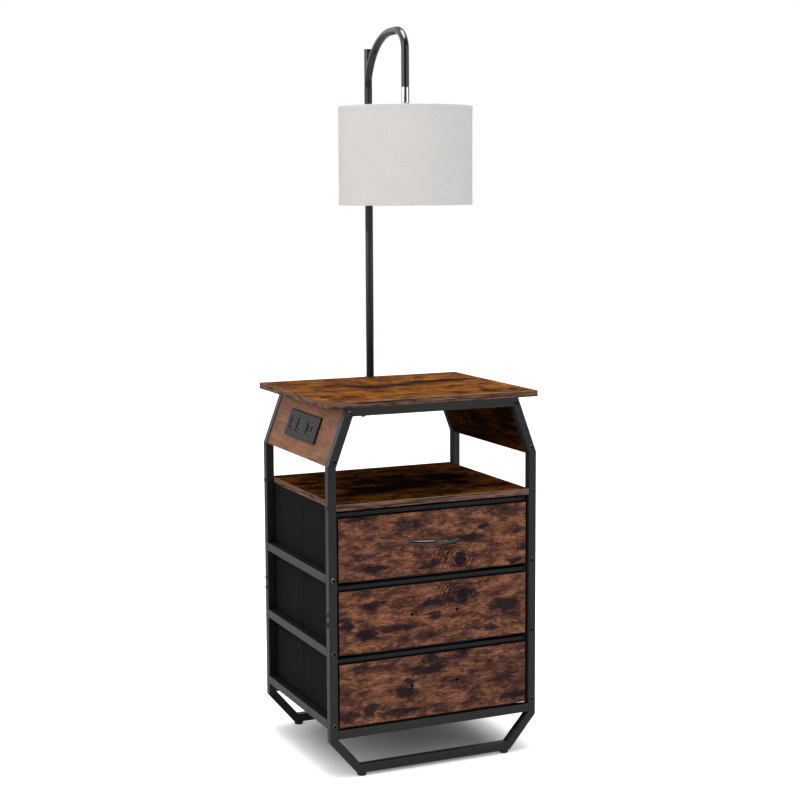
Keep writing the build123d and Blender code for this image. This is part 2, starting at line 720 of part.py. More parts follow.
# ---- bow handle of the top drawer ------------------------------------------------------
handle_z = drawer_bases[0] + pull_z
handle_half = pull_half + HANDLE_END
grip_half = pull_half - HANDLE_FOOT
grip_depth = HANDLE_REACH - BOW_T
with BuildPart() as handle:
    with BuildSketch(Plane.XY.offset(handle_z - HANDLE_H / 2)):
        with BuildLine():
            foot_left = Line((-handle_half, drawer_face_y), (-grip_half, drawer_face_y))
            ThreePointArc(foot_left @ 1, (0, drawer_face_y - grip_depth), (grip_half, drawer_face_y))
            foot_right = Line((grip_half, drawer_face_y), (handle_half, drawer_face_y))
            ThreePointArc(foot_right @ 1, (0, drawer_face_y - HANDLE_REACH), foot_left @ 0)
        make_face()
    extrude(amount=HANDLE_H)
    bow_face = handle.faces().filter_by(GeomType.CYLINDER).sort_by(SortBy.AREA)[-1]
    fillet(bow_face.edges().filter_by(GeomType.CIRCLE), HANDLE_EDGE)
    bore(pull_seats(drawer_face_y, drawer_bases[0]), SCREW_R + THREAD_GAP, HANDLE_SCREW_BITE)
write(handle.part, "handle")

handle_screw = socket_screw(SCREW_HEAD_R, HANDLE_SCREW_HEAD_H, SCREW_R, handle_screw_l)
write(placed(handle_screw, pull_seats(bin_front_y + BIN_WALL, drawer_bases[0])), "handle_screws")

# ---- lamp foot -------------------------------------------------------------------------
lamp_axis = Vector(LAMP_X, rear_tube_y, 0)
pole_base_z = table_h + BASE_FLANGE_T
nut_top_z = top_rail_under - WASHER_T
stud_foot_z = nut_top_z - NUT_T


def lamp_plane(height):
    """A level plane on the pole's axis."""
    return Plane(origin=(LAMP_X, rear_tube_y, height))


with BuildPart() as lamp_base_flange:
    with Locations(lamp_plane(table_h)):
        Cylinder(BASE_FLANGE_R, BASE_FLANGE_T, align=STANDING)
    chamfer(lamp_base_flange.faces().sort_by(Axis.Z)[-1].edges(), BASE_FLANGE_EDGE)
    with Locations(lamp_plane(table_h)):
        Cylinder(thread_bore_r, BASE_FLANGE_T, align=STANDING, mode=Mode.SUBTRACT)
write(lamp_base_flange.part, "lamp_base_flange")

with BuildPart() as lamp_base_stud:
    with BuildSketch(lamp_plane(stud_foot_z)):
        Circle(STUD_R)
        Circle(STUD_BORE_R, mode=Mode.SUBTRACT)
    extrude(amount=pole_base_z + STUD_GRIP - stud_foot_z)
write(lamp_base_stud.part, "lamp_base_stud")

with BuildPart() as lamp_base_washer:
    with BuildSketch(lamp_plane(nut_top_z)):
        Circle(WASHER_R)
        Circle(thread_bore_r, mode=Mode.SUBTRACT)
    extrude(amount=WASHER_T)
write(lamp_base_washer.part, "lamp_base_washer")

with BuildPart() as lamp_base_nut:
    with BuildSketch(lamp_plane(stud_foot_z)):
        RegularPolygon(NUT_R, 6)
        Circle(thread_bore_r, mode=Mode.SUBTRACT)
    extrude(amount=NUT_T)
write(lamp_base_nut.part, "lamp_base_nut")


# ---- pole ------------------------------------------------------------------------------
def pole_section(foot_z, top_z):
    """A round tube with a threaded plug in each end."""
    with BuildPart() as section:
        with BuildSketch(lamp_plane(foot_z)):
            Circle(POLE_R)
            Circle(thread_bore_r, mode=Mode.SUBTRACT)
        extrude(amount=top_z - foot_z)
        with BuildSketch(lamp_plane(foot_z + PLUG_L)):
            Circle(POLE_R - POLE_WALL)
        extrude(amount=top_z - foot_z - 2 * PLUG_L, mode=Mode.SUBTRACT)
    return section.part


pole_joint_z = pole_base_z + LOWER_POLE_L
coupler_top_z = pole_joint_z + COLLAR_T
swivel_z = coupler_top_z + UPPER_POLE_L
swivel_top_z = swivel_z + COLLAR_T
write(pole_section(pole_base_z, pole_joint_z), "lower_pole")
write(pole_section(coupler_top_z, swivel_z), "upper_pole")

with BuildPart() as pole_coupler:
    with BuildSketch(lamp_plane(pole_joint_z - STUD_GRIP)):
        Circle(STUD_R)
    extrude(amount=2 * STUD_GRIP + COLLAR_T)
    with BuildSketch(lamp_plane(pole_joint_z)):
        Circle(POLE_R)
    extrude(amount=COLLAR_T)
    with BuildSketch(lamp_plane(pole_joint_z - STUD_GRIP)):
        Circle(STUD_BORE_R)
    extrude(amount=2 * STUD_GRIP + COLLAR_T, mode=Mode.SUBTRACT)
write(pole_coupler.part, "pole_coupler")

with BuildPart() as swivel_pin:
    with BuildSketch(lamp_plane(swivel_z - STUD_GRIP)):
        Circle(STUD_R)
    extrude(amount=STUD_GRIP)
    with BuildSketch(lamp_plane(swivel_z)):
        Circle(POLE_R)
    extrude(amount=COLLAR_T)
    with BuildSketch(lamp_plane(swivel_top_z)):
        Circle(SWIVEL_PIN_R)
    extrude(amount=SWIVEL_PIN_L)
    with BuildSketch(lamp_plane(swivel_z - STUD_GRIP)):
        Circle(STUD_BORE_R)
    extrude(amount=STUD_GRIP + COLLAR_T + SWIVEL_PIN_L, mode=Mode.SUBTRACT)
write(swivel_pin.part, "swivel_pin")

# ---- swing arm: a stub on the pin and an arched tube bent from three arcs ---------------
arm_plane = Plane(origin=(LAMP_X, rear_tube_y, 0), x_dir=(0, -1, 0), z_dir=(-1, 0, 0))
rise = math.radians(ARM_START_ANGLE)
arm_start = (0, swivel_top_z + ARM_START_RISE)
arm_rise_dir = (math.sin(rise), math.cos(rise))
arm_bend_start = (
    ARM_START_RUN * arm_rise_dir[0],
    arm_start[1] + ARM_START_RUN * arm_rise_dir[1],
)
arm_top_start_x = arm_bend_start[0] + ARM_LONG_BEND_R * math.cos(rise)
arm_top_z = arm_bend_start[1] + ARM_LONG_BEND_R * (1 - math.sin(rise))
arm_top_end_x = ARM_REACH - ARM_DROP_R
arm_end_z = arm_top_z - ARM_DROP_R - ARM_DROP_L

with BuildPart() as swing_arm:
    with BuildLine(arm_plane) as arm_route:
        Line(arm_start, arm_bend_start)
        JernArc(arm_bend_start, arm_rise_dir, ARM_LONG_BEND_R, ARM_START_ANGLE - RIGHT_ANGLE)
        Line((arm_top_start_x, arm_top_z), (arm_top_end_x, arm_top_z))
        JernArc((arm_top_end_x, arm_top_z), (1, 0), ARM_DROP_R, -RIGHT_ANGLE)
        Line((ARM_REACH, arm_top_z - ARM_DROP_R), (ARM_REACH, arm_end_z))
    arm_mouth = Plane(origin=arm_route.line @ 0, z_dir=arm_route.line % 0)
    with BuildSketch(arm_mouth):
        Circle(ARM_R)
    sweep(path=arm_route.line)
    with BuildSketch(lamp_plane(swivel_top_z)):
        Circle(POLE_R)
    extrude(amount=STUB_L)
    stub_top = swing_arm.faces().filter_by(Plane.XY).sort_by(Axis.Z)[-1]
    chamfer(stub_top.edges(), STUB_EDGE)
    with BuildSketch(arm_mouth):
        Circle(thread_bore_r)
    sweep(path=arm_route.line, mode=Mode.SUBTRACT)
    with BuildSketch(lamp_plane(swivel_top_z)):
        Circle(swivel_bore_r)
    extrude(amount=SWIVEL_PIN_L + SWIVEL_END_GAP, mode=Mode.SUBTRACT)
write(swing_arm.part, "swing_arm")

# ---- lamp holder -----------------------------------------------------------------------
shade_y = rear_tube_y - ARM_REACH
spider_top_z = arm_end_z - STEM_L
shade_top_z = spider_top_z + SPIDER_DROP
spider_under_z = spider_top_z - SPIDER_T
cap_foot_z = spider_under_z - CAP_H
socket_foot_z = cap_foot_z - SOCKET_H
bulb_top_z = socket_foot_z + BULB_BASE_L


def shade_plane(height):
    """A level plane on the shade's axis."""
    return Plane(origin=(LAMP_X, shade_y, height))


nipple_foot_z = spider_under_z - NIPPLE_GRIP
with BuildPart() as lamp_nipple:
    with BuildSketch(shade_plane(nipple_foot_z)):
        Circle(STUD_R)
        Circle(STUD_BORE_R, mode=Mode.SUBTRACT)
    extrude(amount=arm_end_z + NIPPLE_GRIP - nipple_foot_z)
write(lamp_nipple.part, "lamp_nipple")

with BuildPart() as lamp_stem:
    with BuildSketch(shade_plane(spider_top_z)):
        Circle(STEM_R)
    extrude(amount=STEM_L)
    chamfer(lamp_stem.faces().sort_by(Axis.Z)[-1].edges(), STEM_EDGE)
    with BuildSketch(shade_plane(spider_top_z)):
        Circle(thread_bore_r)
    extrude(amount=STEM_L, mode=Mode.SUBTRACT)
write(lamp_stem.part, "lamp_stem")

with BuildPart() as socket_cap:
    with BuildSketch(shade_plane(cap_foot_z)):
        Circle(CAP_R)
    extrude(amount=CAP_H)
    fillet(socket_cap.faces().sort_by(Axis.Z)[-1].edges(), CAP_ROUND)
    with BuildSketch(shade_plane(cap_foot_z)):
        Circle(thread_bore_r)
    extrude(amount=CAP_H, mode=Mode.SUBTRACT)
write(socket_cap.part, "socket_cap")

with BuildPart() as lamp_socket:
    with BuildSketch(shade_plane(socket_foot_z)):
        Circle(SOCKET_R)
    extrude(amount=SOCKET_H)
    chamfer(lamp_socket.faces().sort_by(Axis.Z)[-1].edges(), SOCKET_EDGE)
    with BuildSketch(shade_plane(socket_foot_z)):
        Circle(BULB_BASE_R + BULB_GAP)
    extrude(amount=BULB_BASE_L, mode=Mode.SUBTRACT)
write(lamp_socket.part, "lamp_socket")

# ---- bulb: a round envelope that narrows to its screw base -----------------------------
bulb_foot_z = socket_foot_z - BULB_L
bulb_mid_z = bulb_foot_z + BULB_R
bulb_shoulder_z = socket_foot_z - BULB_GAP
bulb_axis = Axis((LAMP_X, shade_y, 0), (0, 0, 1))


def bulb_section(wall):
    """Half of the bulb's section, set a wall's thickness inside its outer face."""
    foot = (0, bulb_foot_z + wall)
    side = (BULB_R - wall, bulb_mid_z)
    shoulder = (BULB_NECK_R - wall, bulb_shoulder_z - wall)
    neck = (BULB_BASE_R - wall, bulb_shoulder_z - wall)
    cap_edge = (BULB_BASE_R - wall, bulb_top_z - wall)
    cap = (0, bulb_top_z - wall)
    with BuildSketch(Plane(origin=bulb_axis.position, z_dir=(0, -1, 0), x_dir=(1, 0, 0))) as section:
        with BuildLine():
            CenterArc((0, bulb_mid_z), BULB_R - wall, -RIGHT_ANGLE, RIGHT_ANGLE)
            Spline(side, shoulder, tangents=[(0, 1), (0, 1)])
            Polyline(shoulder, neck, cap_edge, cap, foot)
        make_face()
    return section.sketch


with BuildPart() as bulb:
    revolve(bulb_section(0), axis=bulb_axis)
    revolve(bulb_section(GLASS_T), axis=bulb_axis, mode=Mode.SUBTRACT)
write(bulb.part, "bulb")

# ---- shade -----------------------------------------------------------------------------
shade_foot_z = shade_top_z - SHADE_H
ring_r = SHADE_R - SHADE_T
with BuildPart() as shade_fabric:
    with BuildSketch(shade_plane(shade_foot_z)):
        Circle(SHADE_R)
        Circle(ring_r, mode=Mode.SUBTRACT)
    extrude(amount=SHADE_H)
write(shade_fabric.part, "shade_fabric")

with BuildPart() as shade_rings:
    for ring_z in (shade_foot_z, shade_top_z - RING_H):
        with BuildSketch(shade_plane(ring_z)):
            Circle(ring_r)
            Circle(ring_r - RING_T, mode=Mode.SUBTRACT)
        extrude(amount=RING_H)
write(shade_rings.part, "shade_rings")

tab_h = shade_top_z - RING_H - spider_under_z
with BuildPart() as shade_spider:
    with BuildSketch(shade_plane(spider_under_z)):
        Circle(HUB_R)
        with PolarLocations(0, SPIDER_ARMS, start_angle=RIGHT_ANGLE):
            Rectangle(ring_r - RING_T / 2, SPIDER_ARM_W, align=(Align.MIN, Align.CENTER))
    extrude(amount=SPIDER_T)
    with BuildSketch(shade_plane(spider_under_z)):
        with PolarLocations(ring_r - RING_T, SPIDER_ARMS, start_angle=RIGHT_ANGLE):
            Rectangle(RING_T / 2, SPIDER_ARM_W, align=(Align.MIN, Align.CENTER))
    extrude(amount=tab_h)
    with BuildSketch(shade_plane(spider_under_z)):
        Circle(thread_bore_r)
    extrude(amount=SPIDER_T, mode=Mode.SUBTRACT)
write(shade_spider.part, "shade_spider")
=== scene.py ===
import math

import bmesh
import bpy
from bpy.props import FloatProperty, FloatVectorProperty, IntProperty, PointerProperty
from mathutils import Matrix, Vector


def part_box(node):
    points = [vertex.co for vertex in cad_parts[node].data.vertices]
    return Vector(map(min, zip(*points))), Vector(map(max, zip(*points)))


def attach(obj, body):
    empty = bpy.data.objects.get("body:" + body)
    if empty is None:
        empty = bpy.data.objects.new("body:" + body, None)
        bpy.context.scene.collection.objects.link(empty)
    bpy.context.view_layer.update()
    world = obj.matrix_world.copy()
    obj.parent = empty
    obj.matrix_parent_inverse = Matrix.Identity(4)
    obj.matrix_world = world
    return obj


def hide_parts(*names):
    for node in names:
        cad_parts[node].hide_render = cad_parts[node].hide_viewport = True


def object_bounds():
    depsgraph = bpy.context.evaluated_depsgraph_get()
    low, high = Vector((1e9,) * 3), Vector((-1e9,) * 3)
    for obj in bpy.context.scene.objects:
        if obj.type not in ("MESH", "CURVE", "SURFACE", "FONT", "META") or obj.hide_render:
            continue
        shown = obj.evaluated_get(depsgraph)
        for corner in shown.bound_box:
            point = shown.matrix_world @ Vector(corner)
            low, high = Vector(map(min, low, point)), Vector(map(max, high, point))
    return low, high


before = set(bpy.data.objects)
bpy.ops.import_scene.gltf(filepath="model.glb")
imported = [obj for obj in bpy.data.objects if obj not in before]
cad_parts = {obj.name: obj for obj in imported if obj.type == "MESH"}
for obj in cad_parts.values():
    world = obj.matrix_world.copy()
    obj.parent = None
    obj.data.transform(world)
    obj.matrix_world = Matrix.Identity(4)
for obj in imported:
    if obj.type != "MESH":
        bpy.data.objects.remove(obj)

bl_info = {
    "name": "Bedside table with swing-arm lamp",
    "version": (1, 0, 0),
    "blender": (4, 5, 0),
    "location": "3D View > Sidebar > Nightstand",
    "description": "Dresses the table's frame, boards, drawers, socket strip and lamp",
    "category": "Object",
}

MM = 0.001
FULL_TURN = math.tau
QUARTER_TURN = math.pi / 2
CAD_LOW, CAD_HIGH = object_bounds()
CLOTH_MAP = "Cloth"

DRAWERS = ("drawer_top", "drawer_middle", "drawer_bottom")
FRAMES = tuple(f"{end}_{half}_frame" for end in ("front", "rear") for half in ("upper", "lower"))
RAILS = tuple(f"{side}_rail_{level}" for side in ("left", "right") for level in ("top", "middle", "bottom"))
SCREWS = (
    "rail_bolts", "end_panel_screws", "shelf_screws", "top_board_screws", "sleeve_screws", "handle_screws",
)
ZINC_PARTS = (
    "post_sleeves", "lamp_base_stud", "lamp_base_washer", "lamp_base_nut", "lamp_nipple", "shade_spider",
)

# Each material's CAD nodes, of those that no finer piece here replaces.
DRESSED = {
    "Top print": ["top_board"],
    "Shelf print": ["shelf_board"],
    "Left panel print": ["left_end_panel"],
    "Right panel print": ["right_end_panel"],
    **{f"{drawer} print": [f"{drawer}_front"] for drawer in DRAWERS},
    "Fibreboard": [f"{drawer}_base_board" for drawer in DRAWERS],
    "Frame paint": FRAMES,
    "Rail paint": RAILS,
    "Black steel": SCREWS,
    "Zinc": ZINC_PARTS,
    "Strip plastic": ["strip_faceplate", "strip_housing", "strip_gland"],
    "Outlet plastic": ["ac_outlets", "usb_outlet"],
    "Holder plastic": ["socket_cap", "lamp_socket"],
    "Lamp lacquer": ["pole_coupler", "swivel_pin"],
    "Foot rubber": ["foot_pads"],
    "Frosted glass": ["bulb"],
}

# Each print's light streaks, ground, grain lines and dark marks.  The shelf's ground, grain lines and
# dark marks are kept near black as painted shade under the top board.  The right end panel takes the
# shelf's, dimmed further as painted shade on its inner face.
PRINT_TONES = {"light": "Light streaks", "ground": "Ground", "dark": "Grain lines", "mark": "Dark marks"}
PRINTS = {
    "drawer": (
        (0.45, 0.178, 0.094), (0.088, 0.037, 0.0255), (0.020, 0.0095, 0.0085), (0.0085, 0.0082, 0.0145),
    ),
    "top": ((0.50, 0.168, 0.009), (0.125, 0.032, 0.005), (0.024, 0.008, 0.004), (0.0095, 0.0048, 0.0035)),
    "panel": ((0.42, 0.197, 0.104), (0.28, 0.119, 0.062), (0.130, 0.075, 0.056), (0.100, 0.078, 0.078)),
    # Painted shade: the shelf's ground, grain lines and dark marks are near black for the shade under the top
    # board.
    "shelf": (
        (0.30, 0.096, 0.010), (0.030, 0.0092, 0.0024), (0.006, 0.0025, 0.0014), (0.0018, 0.0011, 0.0009),
    ),
}
# Painted shade: how much darker the right end panel's inner face is than the shelf.
PANEL_SHADE_DIMMING = 0.45

# Fixed tones beside the ones that the user may change.
DARK_EDGES = ((0.012, 0.009, 0.008), (0.006, 0.005, 0.005))
RIM_TONE = (0.27, 0.18, 0.13)
# Painted shade inside the drawers' pull holes.
HOLE_SHADE_TONE = (0.003, 0.003, 0.003)
SEAM_TONE = (0.002, 0.002, 0.002)
# Painted shade on the faces of the frame that look towards the middle.
INWARD_SHADE_TONE = (0.0022, 0.0022, 0.0024)

# Where things are on a board, in mm from its left front or left lower corner.  A knot or a hole
# is (x, y), and a dark mark is (x, y, half width, half height, strength).
KNOTS = ((255, 21), (259, 89), (262, 128))
PULL_HOLES = ((151, 64), (247, 64))
DRAWER_MARKS = (
    (
        (40, 118, 26, 8, 0.9), (147, 97, 42, 13, 0.65), (75, 20, 36, 9, 0.9), (187, 15, 22, 8, 1.0),
        # In the top drawer's row, the mark at (276, 63) is partly print and partly painted shadow of the
        # handle.
        (276, 63, 36, 9, 0.85), (370, 8, 20, 6, 0.9), (310, 82, 12, 6, 0.8), (338, 114, 42, 11, 0.6),
        (388, 33, 16, 7, 0.8), (52, 44, 34, 10, 0.55), (200, 60, 40, 22, 0.25),
    ),
    (
        (67, 91, 38, 9, 0.9), (194, 84, 22, 9, 1.0), (14, 58, 16, 18, 0.9), (56, 34, 24, 13, 0.95),
        (115, 41, 62, 8, 0.75), (352, 62, 46, 14, 0.9), (327, 19, 24, 10, 0.75), (197, 56, 16, 8, 0.7),
        (150, 20, 60, 12, 0.5), (205, 114, 10, 6, 0.6), (300, 110, 8, 12, 0.6), (60, 112, 30, 7, 0.5),
    ),
    (
        (180, 92, 50, 12, 0.95), (191, 116, 16, 9, 0.95), (42, 110, 26, 11, 0.5), (146, 74, 12, 6, 0.9),
        (141, 51, 22, 13, 0.8), (64, 27, 22, 14, 0.85), (18, 18, 22, 12, 0.8), (123, 14, 52, 10, 0.8),
        (257, 55, 32, 15, 0.6), (352, 62, 48, 24, 0.55), (372, 17, 36, 10, 0.85), (386, 112, 20, 9, 0.6),
        (300, 16, 60, 8, 0.5),
    ),
)
TOP_MARKS = (
    (110, 250, 34, 22, 0.7), (146, 222, 26, 24, 0.7), (158, 200, 28, 26, 1.0), (186, 192, 30, 30, 1.0),
    (214, 196, 26, 22, 0.7), (243, 205, 28, 26, 0.9), (274, 222, 30, 20, 0.8), (306, 230, 30, 30, 1.0),
    (338, 229, 26, 24, 0.9), (368, 233, 26, 34, 1.0), (400, 236, 24, 20, 0.8), (428, 240, 16, 14, 0.6),
    (337, 144, 15, 13, 0.9), (359, 46, 17, 28, 1.0), (414, 49, 13, 17, 0.8), (295, 42, 14, 20, 0.7),
    (77, 69, 26, 20, 0.8), (155, 123, 30, 17, 0.6), (330, 309, 20, 16, 0.7), (371, 95, 12, 17, 0.6),
    (32, 80, 18, 16, 0.9), (58, 192, 24, 18, 0.6), (29, 5, 13, 13, 0.8), (27, 252, 24, 20, 0.5),
    (192, 53, 31, 23, 0.5), (224, 128, 34, 16, 0.5), (245, 290, 40, 18, 0.5), (110, 170, 30, 16, 0.5),
    (60, 300, 34, 20, 0.6), (410, 150, 26, 16, 0.5),
)
# Painted shade: big dark marks over the shelf's middle, where the top board shades it.
SHELF_SHADE_MARKS = (
    (126, 115, 66, 46, 1.0), (217, 145, 70, 56, 1.0), (306, 192, 48, 50, 1.0), (310, 126, 40, 35, 0.8),
    (214, 236, 52, 28, 0.7), (74, 92, 36, 27, 0.8), (150, 195, 60, 34, 0.9), (329, 66, 29, 16, 0.5),
    (31, 239, 25, 19, 0.8), (132, 263, 27, 26, 0.6), (93, 321, 30, 13, 0.5), (46, 46, 23, 11, 0.6),
)


# ---- settings ---------------------------------------------------------------------------
def length(name, text, value):
    """A length in millimetres that the user may change."""
    return FloatProperty(name=name, description=text, default=value, min=0.0, precision=3)


def number(name, text, value, kind="NONE"):
    """A plain number, or an angle in radians, that the user may change."""
    return FloatProperty(name=name, description=text, default=value, subtype=kind)


def colour(name, text, value):
    """A linear colour that the user may change."""
    return FloatVectorProperty(
        name=name, description=text, default=value, subtype="COLOR", size=3, min=0.0, max=1.0
    )


class StudioSettings(bpy.types.PropertyGroup):
    """Camera, lamps and room light."""

    lens: length("Lens", "Focal length on a 36 mm sensor, in mm", 75.424)
    raise_view: number("Shift", "Vertical lens shift", -0.0375)
    place: FloatVectorProperty(
        name="Camera place", description="Where the camera stands", subtype="TRANSLATION",
        default=(-1.35377, -3.03128, 1.11947),
    )
    pan: number("Pan", "Turn of the view from the rear towards the right", 0.42150, "ANGLE")
    tilt: number("Tilt", "Fall of the view below the level", 0.10910, "ANGLE")
    roll: number("Roll", "Turn of the picture", -0.00480, "ANGLE")
    key: number("Key lamp", "Power of the large lamp on the left", 34.0)
    fill: number("Fill lamp", "Power of the lamp at the front right", 30.0)
    top: number("Top lamp", "Power of the overhead lamp", 48.0)
    glint: number("Glint card", "Power of the card that only shows in gloss", 60.0)
    ambient: number("Room light", "Light from all round", 0.36)


class WoodSettings(bpy.types.PropertyGroup):
    """The printed wood grain of the boards: four tones a print, and the edge bands."""

    edge_light: colour("Edge light", "Light lines of the edge bands", (0.23, 0.130, 0.092))
    edge_dark: colour("Edge dark", "Dark lines of the edge bands", (0.026, 0.014, 0.012))


WoodSettings.__annotations__.update({
    f"{board}_{kind}": colour(f"{board} {kind}".capitalize(), f"{words} of the {board} print", tone)
    for board, tones in PRINTS.items()
    for (kind, words), tone in zip(PRINT_TONES.items(), tones)
})


class FinishSettings(bpy.types.PropertyGroup):
    """Metal, plastic and cloth."""

    paint: colour("Frame paint", "Powder coat of the square tubes", (0.0062, 0.0064, 0.0068))
    lacquer: colour("Lamp lacquer", "Gloss black of the pole, arm and handle", (0.010, 0.010, 0.011))
    chrome: colour("Chrome", "Polished stem over the shade", (0.50, 0.51, 0.53))
    zinc: colour("Zinc", "Plated fittings", (0.52, 0.53, 0.55))
    plastic: colour("Strip plastic", "Moulding of the socket strip", (0.0062, 0.0064, 0.0068))
    bin_cloth: colour("Bin cloth", "Cloth of the drawer bins", (0.0020, 0.0020, 0.0022))
    # Painted light: the binding tape is a lighter copy of the bins' cloth, for the light that it catches.
    hem_cloth: colour("Hem cloth", "Folded tape round the drawer fronts", (0.0068, 0.0068, 0.0074))
    linen: colour("Shade linen", "Cloth of the lamp shade", (0.720, 0.702, 0.688))
    liner: colour("Shade liner", "Stiff liner inside the shade", (0.78, 0.72, 0.64))


class ShapeSettings(bpy.types.PropertyGroup):
    """Sizes of the pieces made here, in millimetres."""

    arm_radius: length("Arm radius", "Radius of the arched tube", 7.8)
    arm_rise: length("Arm rise", "Height of the tube's start over the swivel", 19.9)
    arm_lean: number("Arm lean", "Lean of the tube where it starts", math.radians(25.0), "ANGLE")
    arm_run: length("First run", "Straight run before the long bend", 15.0)
    long_bend: length("Long bend", "Radius of the rising bend", 122.6)
    drop_bend: length("Drop bend", "Radius of the falling bend", 40.6)
    hem: length("Hem", "Height of the bins' folded hem", 10.0)
    bin_wall: length("Bin wall", "Thickness of the bins' cloth and card", 3.0)
    sag: length("Sag", "How far the bins' floors hang between their ledges", 2.5)
    shade_hem: length("Shade hem", "Height of the shade's folded edge", 8.0)
    steps: IntProperty(name="Steps", description="Steps round a full turn", default=64, min=12)


# ---- node trees -------------------------------------------------------------------------
FLOAT, VECTOR, COLOUR = "NodeSocketFloat", "NodeSocketVector", "NodeSocketColor"


class Signal:
    """A node's output, which plus, minus, times and abs put Math nodes on."""

    def __init__(self, socket):
        self.socket = socket

    def __add__(self, other):
        return maths("ADD", self, other)

    def __radd__(self, other):
        return maths("ADD", other, self)

    def __sub__(self, other):
        return maths("SUBTRACT", self, other)

    def __rsub__(self, other):
        return maths("SUBTRACT", other, self)

    def __mul__(self, other):
        return maths("MULTIPLY", self, other)

    def __abs__(self):
        return maths("ABSOLUTE", self)

    def along(self, axis):
        """One axis of a vector."""
        return add_node(tree_of(self), "ShaderNodeSeparateXYZ", {"Vector": self}, axis)


def tree_of(*values):
    """The node tree that the first signal of a row of values is in."""
    return next(value.socket.id_data for value in values if isinstance(value, Signal))


def put(socket, value):
    """Link a signal to a socket, or set the socket's own value."""
    if isinstance(value, Signal):
        socket.id_data.links.new(value.socket, socket)
    else:
        socket.default_value = value


def add_node(tree, kind, inputs=None, output=0, **settings):
    """One output of a new node with its settings, and its inputs set or linked."""
    node = tree.nodes.new(kind)
    for name, value in settings.items():
        setattr(node, name, value)
    for socket, value in (inputs or {}).items():
        put(node.inputs[socket], value)
    return Signal(node.outputs[output])


def maths(operation, *values, clamp=False):
    """The result of a Math node."""
    return add_node(tree_of(*values), "ShaderNodeMath", dict(enumerate(values)),
                    operation=operation, use_clamp=clamp)


def vectors(operation, *values):
    """The result of a Vector Math node: a number from a length, distance or dot product."""
    output = "Value" if operation in ("LENGTH", "DISTANCE", "DOT_PRODUCT") else "Vector"
    return add_node(tree_of(*values), "ShaderNodeVectorMath", dict(enumerate(values)), output,
                    operation=operation)


def blended(amount, first, second, way="MIX"):
    """A colour between two others.

    Inputs 0, 6 and 7 of a Mix node are its amount and its two colours, and output 2 is the result.
    """
    return add_node(tree_of(amount, first, second), "ShaderNodeMix", {0: amount, 6: first, 7: second}, 2,
                    data_type="RGBA", blend_type=way)


def ramped(value, low, high):
    """A smooth step from 0 at low to 1 at high."""
    return add_node(tree_of(value), "ShaderNodeMapRange",
                    {"Value": value, "From Min": low, "From Max": high}, interpolation_type="SMOOTHSTEP")


def falling(value, low, high):
    """A smooth step from 1 at low to 0 at high."""
    return 1.0 - ramped(value, low, high)


def mapped(vector, scale=(1, 1, 1), shift=(0, 0, 0), turn=(0, 0, 0)):
    """A vector scaled along its axes, turned and shifted."""
    return add_node(tree_of(vector), "ShaderNodeMapping",
                    {"Vector": vector, "Scale": scale, "Rotation": turn, "Location": shift})


def noise(vector, scale, detail=3.0, rough=0.5, twist=0.0, shift=(0, 0, 0)):
    """Fractal noise, 0 to 1.  Three numbers for a scale stretch it along the axes."""
    if isinstance(scale, tuple):
        vector, scale = mapped(vector, scale, shift), 1.0
    return add_node(tree_of(vector), "ShaderNodeTexNoise", {
        "Vector": vector, "Scale": scale, "Detail": detail, "Roughness": rough, "Distortion": twist,
    })


def node_group(name, inputs, outputs):
    """A new shader node group: the signals that it is given, and the sockets of its results."""
    group = bpy.data.node_groups.new(name, "ShaderNodeTree")
    for kind, sockets in (("INPUT", inputs), ("OUTPUT", outputs)):
        for label, socket in sockets.items():
            group.interface.new_socket(label, in_out=kind, socket_type=socket)
    source = group.nodes.new("NodeGroupInput")
    target = group.nodes.new("NodeGroupOutput")
    return {label: Signal(source.outputs[label]) for label in inputs}, target.inputs


def use_group(name, inputs):
    """Place a group in the tree of its inputs, and give its outputs by name."""
    node = tree_of(*inputs.values()).nodes.new("ShaderNodeGroup")
    node.node_tree = bpy.data.node_groups[name]
    for label, value in inputs.items():
        put(node.inputs[label], value)
    return {output.name: Signal(output) for output in node.outputs}


def make_cloud_group():
    """One soft oval mark: 1 in its middle, 0 outside its reach."""
    given, result = node_group(
        "Cloud mark", {"Vector": VECTOR, "Place": VECTOR, "Per Reach": VECTOR, "Strength": FLOAT},
        {"Mark": FLOAT},
    )
    away = vectors("SUBTRACT", given["Vector"], given["Place"])
    reach = vectors("LENGTH", vectors("MULTIPLY", away, given["Per Reach"]))
    put(result["Mark"], falling(reach, 0.35, 1.35) * given["Strength"])


